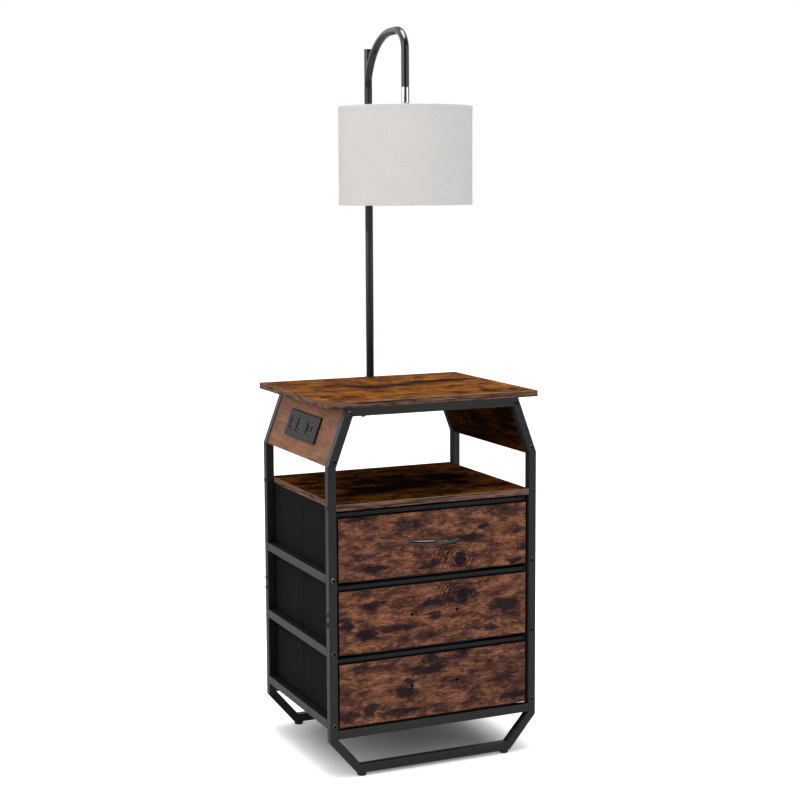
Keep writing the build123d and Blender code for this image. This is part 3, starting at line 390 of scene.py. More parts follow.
def make_wood_group():
    """Rustic printed grain: patches, fine lines along X, cloudy marks and a knot with rings."""
    given, result = node_group(
        "Rustic grain",
        {"Vector": VECTOR, "Knot": VECTOR, "Placed Marks": FLOAT, "Loose Marks": FLOAT,
         "Light": COLOUR, "Ground": COLOUR, "Dark": COLOUR, "Blotch": COLOUR},
        {"Color": COLOUR, "Height": FLOAT, "Mark": FLOAT},
    )
    place = given["Vector"]
    dark = given["Dark"]

    wander = (noise(place, (13, 30, 30), 3.0, 0.55) - 0.5) * 0.010
    grain = vectors("ADD", place, add_node(tree_of(place), "ShaderNodeCombineXYZ", {"Y": wander}))
    patch = ramped(noise(grain, (24, 62, 62), 8.0, 0.72, 0.3), 0.38, 0.66)
    fleck = ramped(noise(grain, (110, 330, 330), 3.0, 0.65), 0.47, 0.64)
    dash = ramped(noise(grain, (44, 360, 360), 4.0, 0.66, shift=(2.0, 5.0, 1.0)), 0.49, 0.65)
    fine = ramped(noise(grain, (70, 760, 760), 3.0, 0.6), 0.44, 0.62)
    rag = noise(grain, (90, 200, 200), 4.0, 0.7) - 0.5

    loose = noise(place, (17, 50, 50), 6.0, 0.66, 0.5, shift=(3.1, 1.7, 0.4))
    start = 0.64 - given["Loose Marks"] * 0.14
    loose = ramped(loose + rag * 0.16, start, start + 0.14) * 0.80
    placed = ramped(given["Placed Marks"] + rag * 1.3, 0.02, 0.85)
    cloud = maths("MAXIMUM", loose, placed)

    # The knot: rings that reach far on its left and fade below, round a dark heart.
    away = vectors("SUBTRACT", place, given["Knot"])
    ragged = (noise(place, 55.0, 3.0, 0.6) - 0.5) * 1.3
    reach = vectors("LENGTH", vectors("MULTIPLY", away, (44.0, 62.0, 0.0))) + ragged
    ring = ramped(maths("SINE", reach * 17.5), -0.30, 0.60)
    upper = 0.30 + ramped(away.along("Y"), -0.008, 0.004) * 0.70
    left = falling(away.along("X"), -0.012, 0.014) * upper * falling(reach, 2.2, 3.2)
    ring = ring * maths("MAXIMUM", left, falling(reach, 0.9, 1.5)) * 0.95
    heart = vectors("LENGTH", vectors("MULTIPLY", away, (74.0, 54.0, 0.0))) + rag * 1.2
    heart = falling(heart, 0.60, 1.10)

    tone = blended(patch, given["Ground"], given["Light"])
    for mask in (dash * 0.62, fleck * 0.46, fine * 0.38, ring):
        tone = blended(mask, tone, dark)
    for mask in (cloud * 0.90, heart * 0.92):
        tone = blended(mask, tone, given["Blotch"])
    upright = noise(place, (430, 70, 70), 3.0, 0.65)
    level = noise(place, (80, 420, 420), 3.0, 0.65, shift=(4.0, 1.0, 2.0))
    speckle = noise(place, 430.0, 2.0, 0.7)
    shade = maths("ADD", upright - 0.40 + level * 0.9, speckle * 0.9, clamp=True)
    grey = add_node(tree_of(shade), "ShaderNodeCombineColor", dict.fromkeys(("Red", "Green", "Blue"), shade))
    put(result["Color"], blended(1.0, tone, grey, "MULTIPLY"))
    put(result["Height"], 1.0 - fine * 0.5 - dash * 0.3)
    put(result["Mark"], cloud)


def make_edge_group():
    """Edge banding: long thin lines that run level round a board."""
    given, result = node_group("Edge band", {"Vector": VECTOR, "Light": COLOUR, "Dark": COLOUR},
                               {"Color": COLOUR})
    lines = noise(given["Vector"], (7, 7, 480), 4.0, 0.7)
    broad = noise(given["Vector"], (30, 30, 260), 3.0, 0.6)
    mask = ramped(lines * 0.65 + broad * 0.35, 0.40, 0.60)
    put(result["Color"], blended(mask, given["Dark"], given["Light"]))


def make_speckle_group():
    """Fine orange-peel texture of paint and moulded plastic."""
    given, result = node_group("Fine texture", {"Vector": VECTOR, "Scale": FLOAT},
                               {"Height": FLOAT, "Wear": FLOAT})
    put(result["Height"], noise(given["Vector"], given["Scale"], 3.0, 0.6))
    put(result["Wear"], noise(given["Vector"], 14.0, 4.0, 0.6))


def make_weave_group():
    """Plain weave: threads over and under along the two directions of a surface, with slubs."""
    given, result = node_group("Weave", {"Vector": VECTOR, "Threads": FLOAT, "Slub": FLOAT},
                               {"Height": FLOAT, "Tone": FLOAT})
    surface = given["Vector"]
    turn = given["Threads"] * FULL_TURN
    crossing = maths("SINE", surface.along("X") * turn) * maths("SINE", surface.along("Y") * turn)
    level = noise(surface, (55, 620, 1), 3.0, 0.62)
    upright = noise(surface, (620, 70, 1), 3.0, 0.62, shift=(4.0, 2.0, 0.0))
    slub = level * 0.62 + upright * 0.38
    put(result["Height"], crossing * 0.35 + slub * given["Slub"])
    put(result["Tone"], ramped(slub, 0.3, 0.7))


# ---- materials --------------------------------------------------------------------------
def new_material(name):
    """A new material's Principled shader, and the Object coordinates of its piece."""
    material = bpy.data.materials.new(name)
    material.use_nodes = True
    tree = material.node_tree
    return tree.nodes["Principled BSDF"], add_node(tree, "ShaderNodeTexCoord", output="Object")


def facing(place):
    """The way that a surface faces, in the tree of its Object coordinates."""
    return add_node(tree_of(place), "ShaderNodeTexCoord", output="Normal")


def set_shader(shader, **values):
    """Set or link the Principled shader's sockets; underscores stand for spaces."""
    for name, value in values.items():
        put(shader.inputs[name.replace("_", " ")], value)


def bump(height, strength, distance):
    """A normal from a height."""
    return add_node(tree_of(height), "ShaderNodeBump",
                    {"Height": height, "Strength": strength, "Distance": distance})


def rgba(tone, level=1.0):
    """A colour setting times a level, with its alpha."""
    return (*(min(1.0, value * level) for value in tone), 1.0)


def placed_marks(sheet, marks):
    """The strongest of a list of oval marks: (x, y, half width, half height, strength), in mm."""
    drift = (noise(sheet, (30, 70, 70), 4.0, 0.65) - 0.5) * 0.075
    sway = (noise(sheet, (26, 60, 60), 4.0, 0.65, shift=(7.0, 3.0, 5.0)) - 0.5) * 0.026
    torn = vectors("ADD", sheet, add_node(tree_of(sheet), "ShaderNodeCombineXYZ", {"X": drift, "Y": sway}))
    strongest = 0.0
    for x, y, half_width, half_height, strength in marks:
        mark = use_group("Cloud mark", {
            "Vector": torn, "Place": (x * MM, y * MM, 0.0), "Strength": strength,
            "Per Reach": (1.0 / (half_width * MM), 1.0 / (half_height * MM), 0.0),
        })
        strongest = maths("MAXIMUM", strongest, mark["Mark"])
    return strongest


def wood_material(name, tones, face, turn=(0, 0, 0), corner=(0, 0, 0), seed=0.0, knot=(-900, -900),
                  marks=(), holes=(), loose=0.5, rim_z=None, edge_tones=None, gloss=0.05, bend=1.5,
                  spread=(1.0, 1.0)):
    """Printed grain on the faces that look along an axis, and edge banding on the others.

    The print's own coordinates start at the board's corner, with the grain along X.
    """
    wood = bpy.context.scene.nightstand_wood
    shader, place = new_material(name)
    sheet = vectors("SUBTRACT", mapped(place, turn=turn), corner)
    sheet = vectors("MULTIPLY", sheet, (1.0, 1.0, 0.0))
    light, ground, dark, mark = tones
    grain = use_group("Rustic grain", {
        "Vector": mapped(sheet, (*spread, 1.0), (0.0, 0.0, seed)),
        "Knot": (knot[0] * MM * spread[0], knot[1] * MM * spread[1], seed),
        "Loose Marks": loose, "Placed Marks": placed_marks(sheet, marks),
        "Light": rgba(light), "Ground": rgba(ground), "Dark": rgba(dark), "Blotch": rgba(mark),
    })
    edge_light, edge_dark = edge_tones or (wood.edge_light, wood.edge_dark)
    band = {"Vector": place, "Light": rgba(edge_light), "Dark": rgba(edge_dark)}
    edge = use_group("Edge band", band)["Color"]
    if rim_z is not None:
        rim = ramped(place.along("Z"), rim_z - 1.9 * MM, rim_z - 0.9 * MM)
        edge = blended(rim * 0.7, edge, rgba(RIM_TONE))
    print_tone = grain["Color"]
    # Painted shade: each pull hole is a dark dot on the print, for the shade inside the hole.
    for x, y in holes:
        hole_shade = falling(vectors("DISTANCE", sheet, (x * MM, y * MM, 0.0)), 2.8 * MM, 3.5 * MM)
        print_tone = blended(hole_shade, print_tone, rgba(HOLE_SHADE_TONE))
    broad = ramped(abs(vectors("DOT_PRODUCT", facing(place), face)), 0.6, 0.8)
    set_shader(
        shader, Base_Color=blended(broad, edge, print_tone), Roughness=0.50 + grain["Mark"] * 0.10,
        Normal=bump(grain["Height"], 0.12, 0.0004), Specular_IOR_Level=gloss, IOR=bend,
    )


def painted_material(name, tone, rough, grain, depth, gloss=0.5, coat=0.0, coat_rough=0.03, joint_z=None,
                     inner=False):
    """A painted or moulded surface with a fine texture.

    It may have a dark seam where two tubes meet, and painted shade, darker and rougher, where faces look in.
    """
    shader, place = new_material(name)
    fine = use_group("Fine texture", {"Vector": place, "Scale": grain})
    base = blended(fine["Wear"], rgba(tone, 0.82), rgba(tone, 1.18))
    height = fine["Height"]
    if joint_z is not None:
        seam = falling(abs(place.along("Z") - joint_z), 0.2 * MM, 0.6 * MM)
        base = blended(seam, base, rgba(SEAM_TONE))
        height = height - seam * 3.0
    roughness = (rough - 0.05) + fine["Wear"] * 0.1
    # Painted shade: faces that look towards the middle are darkened and made rougher.
    if inner:
        outward = maths("SIGN", place.along("X")) * facing(place).along("X")
        inward_shade = ramped(outward * -1.0, 0.3, 0.7)
        base = blended(inward_shade, base, rgba(INWARD_SHADE_TONE))
        roughness = roughness + inward_shade * 0.45
    set_shader(shader, Base_Color=base, Roughness=roughness, Normal=bump(height, depth, 0.0002),
               Specular_IOR_Level=gloss, Coat_Weight=coat, Coat_Roughness=coat_rough)


def screw_material():
    """Black screw heads with a painted highlight along the slope of each head, broken up by noise."""
    shader, place = new_material("Black steel")
    fine = use_group("Fine texture", {"Vector": place, "Scale": 1500.0})
    # Where a head's slope leans 45 degrees, its normal's parts are 0.707.
    slopes = [falling(abs(abs(facing(place).along(side)) - 0.707), 0.02, 0.06) for side in ("X", "Y")]
    # Painted highlight: the slopes of the heads are made light grey in patches.
    slope_glint = maths("MAXIMUM", *slopes) * 0.42 * ramped(fine["Wear"], 0.25, 0.65)
    set_shader(
        shader, Base_Color=blended(slope_glint, (0.003, 0.003, 0.0033, 1.0), (0.26, 0.26, 0.27, 1.0)),
        Metallic=0.5, Roughness=0.34, Specular_IOR_Level=0.25, Normal=bump(fine["Height"], 0.1, 0.0002),
    )


def metal_material(name, tone, rough, brushed):
    """Bare or plated metal with fine lines from drawing or polishing."""
    shader, place = new_material(name)
    lines = noise(place, (900, 900, 60), 3.0, 0.6)
    set_shader(shader, Base_Color=rgba(tone), Metallic=1.0, Roughness=rough + lines * brushed,
               Normal=bump(lines, 0.05, 0.0001))


def cloth_material(name, tone, threads, slub, contrast, depth, rough, gloss=0.5, sheen=0.0):
    """Woven cloth that follows a piece's own map."""
    shader, _ = new_material(name)
    surface = add_node(shader.id_data, "ShaderNodeUVMap", uv_map=CLOTH_MAP)
    weave = use_group("Weave", {"Vector": surface, "Threads": threads, "Slub": slub})
    tone = blended(weave["Tone"], rgba(tone, 1.0 - contrast), rgba(tone, 1.0 + contrast))
    set_shader(shader, Base_Color=tone, Roughness=rough, Normal=bump(weave["Height"], depth, 0.0003),
               Specular_IOR_Level=gloss, Sheen_Weight=sheen, Sheen_Roughness=0.5)


def glass_material():
    """Frosted white glass of the bulb."""
    shader, place = new_material("Frosted glass")
    set_shader(shader, Base_Color=(0.88, 0.88, 0.86, 1.0), Roughness=0.22 + noise(place, 40.0, 2.0) * 0.1,
               Subsurface_Weight=0.15, Subsurface_Scale=0.004)


def board_material():
    """Bare brown fibreboard of the bins' base boards."""
    shader, place = new_material("Fibreboard")
    fibres = noise(place, 160.0, 6.0, 0.75)
    tone = blended(ramped(fibres, 0.35, 0.65), (0.115, 0.078, 0.050, 1.0), (0.22, 0.155, 0.10, 1.0))
    set_shader(shader, Base_Color=tone, Roughness=0.75, Normal=bump(fibres, 0.2, 0.0003))


# ---- shapes -----------------------------------------------------------------------------
def smooth(bm, sharp_angle=math.radians(32.0)):
    """Smooth faces with crisp edges where they meet at more than an angle."""
    bmesh.ops.recalc_face_normals(bm, faces=bm.faces[:])
    for face in bm.faces:
        face.smooth = True
    for edge in bm.edges:
        edge.smooth = len(edge.link_faces) == 2 and edge.calc_face_angle() < sharp_angle


def new_object(name, data):
    """A new object in the scene."""
    item = bpy.data.objects.new(name, data)
    bpy.context.scene.collection.objects.link(item)
    return item


def as_mesh(name, bm):
    """The mesh of a finished bmesh, which is freed."""
    mesh = bpy.data.meshes.new(name)
    bm.to_mesh(mesh)
    bm.free()
    return mesh


def join(bm, other):
    """Move the faces of another bmesh into one."""
    shell = as_mesh("shell", other)
    bm.from_mesh(shell)
    bpy.data.meshes.remove(shell)


def finish_piece(name, bm, material, body, nodes=()):
    """A finished mesh object that rides on a body and stands for CAD nodes."""
    piece = new_object(name, as_mesh(name, bm))
    piece.data.materials.append(bpy.data.materials[material])
    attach(piece, body)
    if nodes:
        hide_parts(*nodes)


def add_box(bm, low, high):
    """Add a plain box between two corners."""
    corners = bmesh.ops.create_cube(bm, size=1.0)["verts"]
    bmesh.ops.scale(bm, verts=corners, vec=high - low)
    bmesh.ops.translate(bm, verts=corners, vec=(low + high) / 2)


def cut(bm, place, way, **settings):
    """Cut every face along a plane."""
    everything = bm.verts[:] + bm.edges[:] + bm.faces[:]
    bmesh.ops.bisect_plane(bm, geom=everything, plane_co=place, plane_no=way, **settings)


def round_edges(bm, edges, radius, segments):
    """Round a list of edges."""
    bmesh.ops.bevel(bm, geom=edges, offset=radius, segments=segments, profile=0.5, affect="EDGES",
                    material=-1)


def rotate(bm, corners, angle, axis, centre=(0, 0, 0)):
    """Turn some corners about an axis through a centre."""
    bmesh.ops.rotate(bm, verts=corners, cent=centre, matrix=Matrix.Rotation(angle, 3, axis))


def turned(bm, axis, profile, steps):
    """Turn a profile of (radius, height) points about an upright axis."""
    rim = [bm.verts.new((axis.x + radius, axis.y, height)) for radius, height in profile]
    edges = [bm.edges.new(pair) for pair in zip(rim, rim[1:])]
    bmesh.ops.spin(
        bm, geom=rim + edges, cent=axis, axis=(0, 0, 1), angle=FULL_TURN, steps=steps, use_merge=True
    )
    bmesh.ops.remove_doubles(bm, verts=bm.verts[:], dist=1e-6)


def turned_piece(name, node, axis, profile, material, body, slot):
    """A finished piece turned about an upright axis, in a CAD node's place."""
    bm = bmesh.new()
    turned(bm, axis, profile, bpy.context.scene.nightstand_shape.steps)
    smooth(bm)
    finish_piece(name, bm, material, body, [node])


def rounded_rod(radius, low, high, edge):
    """Profile of a closed rod with rounded rims."""
    soft = edge * (1 - math.sqrt(0.5))
    return [
        (0, low), (radius - edge, low), (radius - soft, low + soft), (radius, low + edge),
        (radius, high - edge), (radius - soft, high - soft), (radius - edge, high), (0, high),
    ]


def box_centre(node):
    """The middle of a CAD node's box."""
    low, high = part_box(node)
    return (low + high) / 2


# ---- operators --------------------------------------------------------------------------
def ray(tree, kind):
    """1 on light paths of a kind, such as Camera or Glossy."""
    return add_node(tree, "ShaderNodeLightPath", output=f"Is {kind} Ray")


def seen(tree):
    """1 where the camera sees a thing, straight or through glass."""
    return maths("ADD", ray(tree, "Camera"), ray(tree, "Transmission"), clamp=True)


class NIGHTSTAND_OT_studio(bpy.types.Operator):
    """Make the camera, the lamps, the room light and the floor"""

    bl_idname = "nightstand.studio"
    bl_label = "Studio"

    def camera(self, studio):
        """The camera at its place, turned by its pan, tilt and roll."""
        lens = bpy.data.cameras.new("Camera")
        lens.lens = studio.lens
        lens.shift_y = studio.raise_view
        lens.clip_start = 0.05
        lens.clip_end = 60.0
        camera = new_object("Camera", lens)
        ahead = Vector((
            math.sin(studio.pan) * math.cos(studio.tilt),
            math.cos(studio.pan) * math.cos(studio.tilt),
            -math.sin(studio.tilt),
        ))
        right = Vector((math.cos(studio.pan), -math.sin(studio.pan), 0.0))
        above = right.cross(ahead)
        rolled_right = right * math.cos(studio.roll) + above * math.sin(studio.roll)
        rolled_above = above * math.cos(studio.roll) - right * math.sin(studio.roll)
        view = Matrix((rolled_right, rolled_above, -ahead)).transposed()
        camera.matrix_world = Matrix.Translation(studio.place) @ view.to_4x4()
        bpy.context.scene.camera = camera

    def lamp(self, name, place, target, size, power, tone=(1.0, 1.0, 1.0), gloss_only=False):
        """A large flat lamp that points at a target."""
        light = bpy.data.lights.new(name, "AREA")
        light.shape = "RECTANGLE"
        light.size, light.size_y = size
        light.energy = power
        light.color = tone
        lamp = new_object(name, light)
        lamp.location = place
        lamp.rotation_euler = (Vector(target) - Vector(place)).to_track_quat("-Z", "Y").to_euler()
        lamp.visible_diffuse = not gloss_only

    def room(self, studio):
        """White all round to the camera, soft light on the object, and dimmer where gloss mirrors it."""
        world = bpy.data.worlds.new("Studio room")
        bpy.context.scene.world = world
        world.use_nodes = True
        tree = world.node_tree
        tree.nodes.clear()
        way = add_node(tree, "ShaderNodeTexCoord", output="Generated")
        behind = ramped(way.along("Y"), -0.75, 0.15)
        left = falling(way.along("X"), -0.35, 0.15)
        mirror = 0.08 + behind * 0.52 + left * behind * 0.6
        glossy = ray(tree, "Glossy")
        rest = 1.0 - maths("ADD", seen(tree), glossy, clamp=True)
        light = add_node(tree, "ShaderNodeBackground", {
            "Color": (1, 1, 1, 1), "Strength": rest * studio.ambient + glossy * mirror + seen(tree),
        })
        put(tree.nodes.new("ShaderNodeOutputWorld").inputs["Surface"], light)

    def floor(self):
        """A pale floor that keeps the shadow close to the object and is white further out."""
        bm = bmesh.new()
        bmesh.ops.create_circle(bm, cap_ends=True, segments=96, radius=9.0)
        floor = new_object("Floor", as_mesh("Floor", bm))
        material = bpy.data.materials.new("Pale floor")
        material.use_nodes = True
        tree = material.node_tree
        tree.nodes.clear()
        matt = add_node(tree, "ShaderNodeBsdfDiffuse", {"Color": (0.92, 0.92, 0.92, 1.0)})
        place = add_node(tree, "ShaderNodeTexCoord", output="Object")
        beside = abs(place.along("X")) * (1.0 / CAD_HIGH.x)
        before = abs(place.along("Y")) * (1.0 / CAD_HIGH.y)
        reach = maths("SMOOTH_MAX", beside, before, 0.6)
        glow = add_node(tree, "ShaderNodeEmission", {
            "Color": (1, 1, 1, 1), "Strength": seen(tree) * ramped(reach, 0.62, 1.38),
        })
        both = add_node(tree, "ShaderNodeAddShader", {0: matt, 1: glow})
        put(tree.nodes.new("ShaderNodeOutputMaterial").inputs["Surface"], both)
        floor.data.materials.append(material)

    def execute(self, context):
        studio = context.scene.nightstand_studio
        self.camera(studio)
        self.lamp("Key lamp", (-2.6, -0.6, 1.9), (0, 0, 0.6), (2.0, 2.2), studio.key, (1.0, 0.99, 0.975))
        self.lamp("Fill lamp", (1.9, -2.8, 1.7), (0, 0, 0.6), (2.0, 2.0), studio.fill)
        self.lamp("Top lamp", (0.0, -0.2, 3.2), (0, 0, 0.0), (1.8, 1.8), studio.top)
        self.lamp("Glint card", (0.1, -0.3, 3.1), (0, 0, 1.0), (1.2, 1.2), studio.glint, gloss_only=True)
        self.room(studio)
        self.floor()
        context.scene.view_settings.view_transform = "Standard"
        return {"FINISHED"}


class NIGHTSTAND_OT_finishes(bpy.types.Operator):
    """Make every material and put one on each CAD node"""

    bl_idname = "nightstand.finishes"
    bl_label = "Finishes"

    def execute(self, context):
        wood = context.scene.nightstand_wood
        finish = context.scene.nightstand_finish
        for make_group in (make_cloud_group, make_wood_group, make_edge_group, make_speckle_group,
                           make_weave_group):
            make_group()

        tones = {board: [getattr(wood, f"{board}_{kind}") for kind in PRINT_TONES] for board in PRINTS}
        low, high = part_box("top_board")
        wood_material("Top print", tones["top"], (0, 0, 1), corner=(low.x, low.y, 0), seed=0.3,
                      marks=TOP_MARKS, loose=0.35, rim_z=high.z, gloss=0.006, spread=(0.75, 0.42))
        low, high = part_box("shelf_board")
        # Painted shade: the shelf's dark tones and big marks stand for the shade under the top board.
        wood_material("Shelf print", tones["shelf"], (0, 0, 1), corner=(low.x, low.y, 0), seed=1.7,
                      marks=SHELF_SHADE_MARKS, loose=0.4, rim_z=high.z, gloss=0.003, bend=1.12,
                      spread=(0.75, 0.42))
        across_and_up = Matrix(((1, 0, 0), (0, 0, 1), (0, -1, 0))).to_euler()
        for index, drawer in enumerate(DRAWERS):
            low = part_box(f"{drawer}_front")[0]
            wood_material(f"{drawer} print", tones["drawer"], (0, 1, 0), turn=across_and_up, seed=0.6 * index,
                          corner=(low.x, low.z, 0), knot=KNOTS[index], marks=DRAWER_MARKS[index],
                          holes=PULL_HOLES if index else (), loose=(0.85, 0.85, 1.0)[index],
                          edge_tones=DARK_EDGES)
        back_and_up = Matrix(((0, 1, 0), (0, 0, 1), (1, 0, 0))).to_euler()
        wood_material("Left panel print", tones["panel"], (1, 0, 0.3), turn=back_and_up, seed=0.9, loose=0.85,
                      spread=(0.5, 1.1))
        # Painted shade: the right panel's inner face takes the shelf's dark tones, dimmed further.
        shaded_tones = [tone * PANEL_SHADE_DIMMING for tone in tones["shelf"]]
        wood_material("Right panel print", shaded_tones, (1, 0, -0.3), turn=back_and_up, seed=0.1, loose=0.7,
                      gloss=0.004, bend=1.15, spread=(0.4, 1.1))
        joint_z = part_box("front_upper_frame")[0].z
        coated = {"rough": 0.42, "grain": 2600.0, "depth": 0.15}
        # The frame's paint takes painted shade on the faces that look towards the middle.
        painted_material("Frame paint", finish.paint, **coated, gloss=0.41, joint_z=joint_z, inner=True)
        painted_material("Rail paint", finish.paint, **coated, gloss=0.42)
        screw_material()
        flat = {"grain": 300.0, "depth": 0.004}
        painted_material("Lamp lacquer", finish.lacquer, 0.16, **flat, gloss=0.4, coat=0.3, coat_rough=0.06)
        painted_material("Pole lacquer", finish.lacquer * 1.5, 0.36, **flat, gloss=0.34, coat=0.05,
                         coat_rough=0.15)
        painted_material("Handle lacquer", finish.lacquer, 0.14, **flat, coat=0.4, coat_rough=0.05)
        painted_material("Strip plastic", finish.plastic * 0.5, 0.40, grain=2200.0, depth=0.16, gloss=0.14)
        painted_material("Outlet plastic", finish.plastic * 0.35, 0.34, grain=2200.0, depth=0.12, gloss=0.15)
        painted_material("Holder plastic", (0.016, 0.016, 0.017), 0.36, grain=1800.0, depth=0.12)
        painted_material("Foot rubber", (0.013, 0.013, 0.014), 0.72, grain=1400.0, depth=0.25)
        metal_material("Chrome", finish.chrome, rough=0.05, brushed=0.05)
        metal_material("Zinc", finish.zinc, rough=0.30, brushed=0.18)
        bound = {"threads": 900.0, "slub": 1.2}
        cloth_material("Bin cloth", finish.bin_cloth, **bound, contrast=0.28, depth=0.55, rough=0.92,
                       gloss=0.12, sheen=0.008)
        # Painted light: the tape's cloth is lighter than the bins' for the light that it catches.
        cloth_material("Hem cloth", finish.hem_cloth, **bound, contrast=0.22, depth=0.4, rough=0.62,
                       gloss=0.35)
        cloth_material("Shade linen", finish.linen, threads=1100.0, slub=1.5, contrast=0.085, depth=0.50,
                       rough=0.95, gloss=0.2)
        cloth_material("Shade liner", finish.liner, threads=400.0, slub=0.4, contrast=0.03, depth=0.08,
                       rough=0.55)
        glass_material()
        board_material()

        for material, nodes in DRESSED.items():
            for node in nodes:
                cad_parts[node].material_slots[0].material = bpy.data.materials[material]
        return {"FINISHED"}


class NIGHTSTAND_OT_pole(bpy.types.Operator):
    """Make the lamp pole's two tubes and its foot flange"""

    bl_idname = "nightstand.pole"
    bl_label = "Pole"

    def execute(self, context):
        axis = box_centre("lower_pole")
        look = ("Pole lacquer", "stand", "gloss_black")
        for node in ("lower_pole", "upper_pole"):
            low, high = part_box(node)
            profile = rounded_rod((high.x - low.x) / 2, low.z, high.z, 0.5 * MM)
            turned_piece(f"{node}_tube", node, axis, profile, *look)
        low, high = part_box("lamp_base_flange")
        radius = (high.x - low.x) / 2
        turned_piece("foot_flange", "lamp_base_flange", axis, [
            (0, low.z), (radius, low.z), (radius, low.z + 1.2 * MM), (radius - 0.35 * MM, low.z + 1.8 * MM),
            (radius - 1.2 * MM, low.z + 2.2 * MM), (radius - 2.6 * MM, high.z), (0, high.z),
        ], *look)
        return {"FINISHED"}


class NIGHTSTAND_OT_arm(bpy.types.Operator):
    """Make the swing arm: a turning stub with an arched tube, and the chrome stem"""

    bl_idname = "nightstand.arm"
    bl_label = "Swing arm"

    def straight(self, bm, ring, way):
        """Draw the tube's open ring straight out, and give its new ring."""
        made = bmesh.ops.extrude_edge_only(bm, edges=ring)["geom"]
        corners = [item for item in made if isinstance(item, bmesh.types.BMVert)]
        bmesh.ops.translate(bm, verts=corners, vec=way)
        return [item for item in made if isinstance(item, bmesh.types.BMEdge)
                and all(corner in corners for corner in item.verts)]

    def bend(self, bm, ring, centre, angle, steps):
        """Draw the tube's open ring round a bend, and give its new ring."""
        corners = list({corner for edge in ring for corner in edge.verts})
        made = bmesh.ops.spin(bm, geom=corners + ring, cent=centre, axis=(1, 0, 0), angle=angle, steps=steps)
        return [item for item in made["geom_last"] if isinstance(item, bmesh.types.BMEdge)]

    def execute(self, context):
        shape = context.scene.nightstand_shape
        axis = box_centre("upper_pole")
        radius = shape.arm_radius * MM
        lean = shape.arm_lean
        rising = Vector((0, -math.sin(lean), math.cos(lean)))
        stub_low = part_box("upper_pole")[1].z + 0.8 * MM
        start = Vector((axis.x, axis.y, stub_low + shape.arm_rise * MM))

        bm = bmesh.new()
        corners = bmesh.ops.create_circle(bm, segments=40, radius=radius)["verts"]
        rotate(bm, corners, lean, "X")
        bmesh.ops.translate(bm, verts=corners, vec=start)
        first = bm.edges[:]
        ring = self.straight(bm, first, rising * shape.arm_run * MM)
        bend_start = start + rising * shape.arm_run * MM
        long_centre = bend_start + Vector((0, -math.cos(lean), -math.sin(lean))) * shape.long_bend * MM
        ring = self.bend(bm, ring, long_centre, QUARTER_TURN - lean, 30)
        stem_axis = box_centre("lamp_stem")
        drop_y = stem_axis.y + shape.drop_bend * MM
        ring = self.straight(bm, ring, Vector((0, drop_y - long_centre.y, 0)))
        top_z = long_centre.z + shape.long_bend * MM
        ring = self.bend(bm, ring, Vector((axis.x, drop_y, top_z - shape.drop_bend * MM)), QUARTER_TURN, 28)
        stem_low, stem_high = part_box("lamp_stem")
        ring = self.straight(bm, ring, Vector((0, 0, stem_high.z - (top_z - shape.drop_bend * MM))))
        bmesh.ops.edgeloop_fill(bm, edges=first)
        bmesh.ops.edgeloop_fill(bm, edges=ring)
        smooth(bm, math.radians(50.0))
        stub = bmesh.new()
        stub_top = start.z + 58.5 * MM
        turned(stub, axis, rounded_rod(8.0 * MM, stub_low, stub_top, 0.9 * MM), shape.steps)
        smooth(stub)
        join(bm, stub)
        finish_piece("arched_arm", bm, "Lamp lacquer", "lamp_head", ["swing_arm"])

        profile = rounded_rod((stem_high.x - stem_low.x) / 2, stem_low.z, stem_high.z, 0.7 * MM)
        turned_piece("chrome_stem", "lamp_stem", stem_axis, profile, "Chrome", "lamp_head", "chrome")
        return {"FINISHED"}


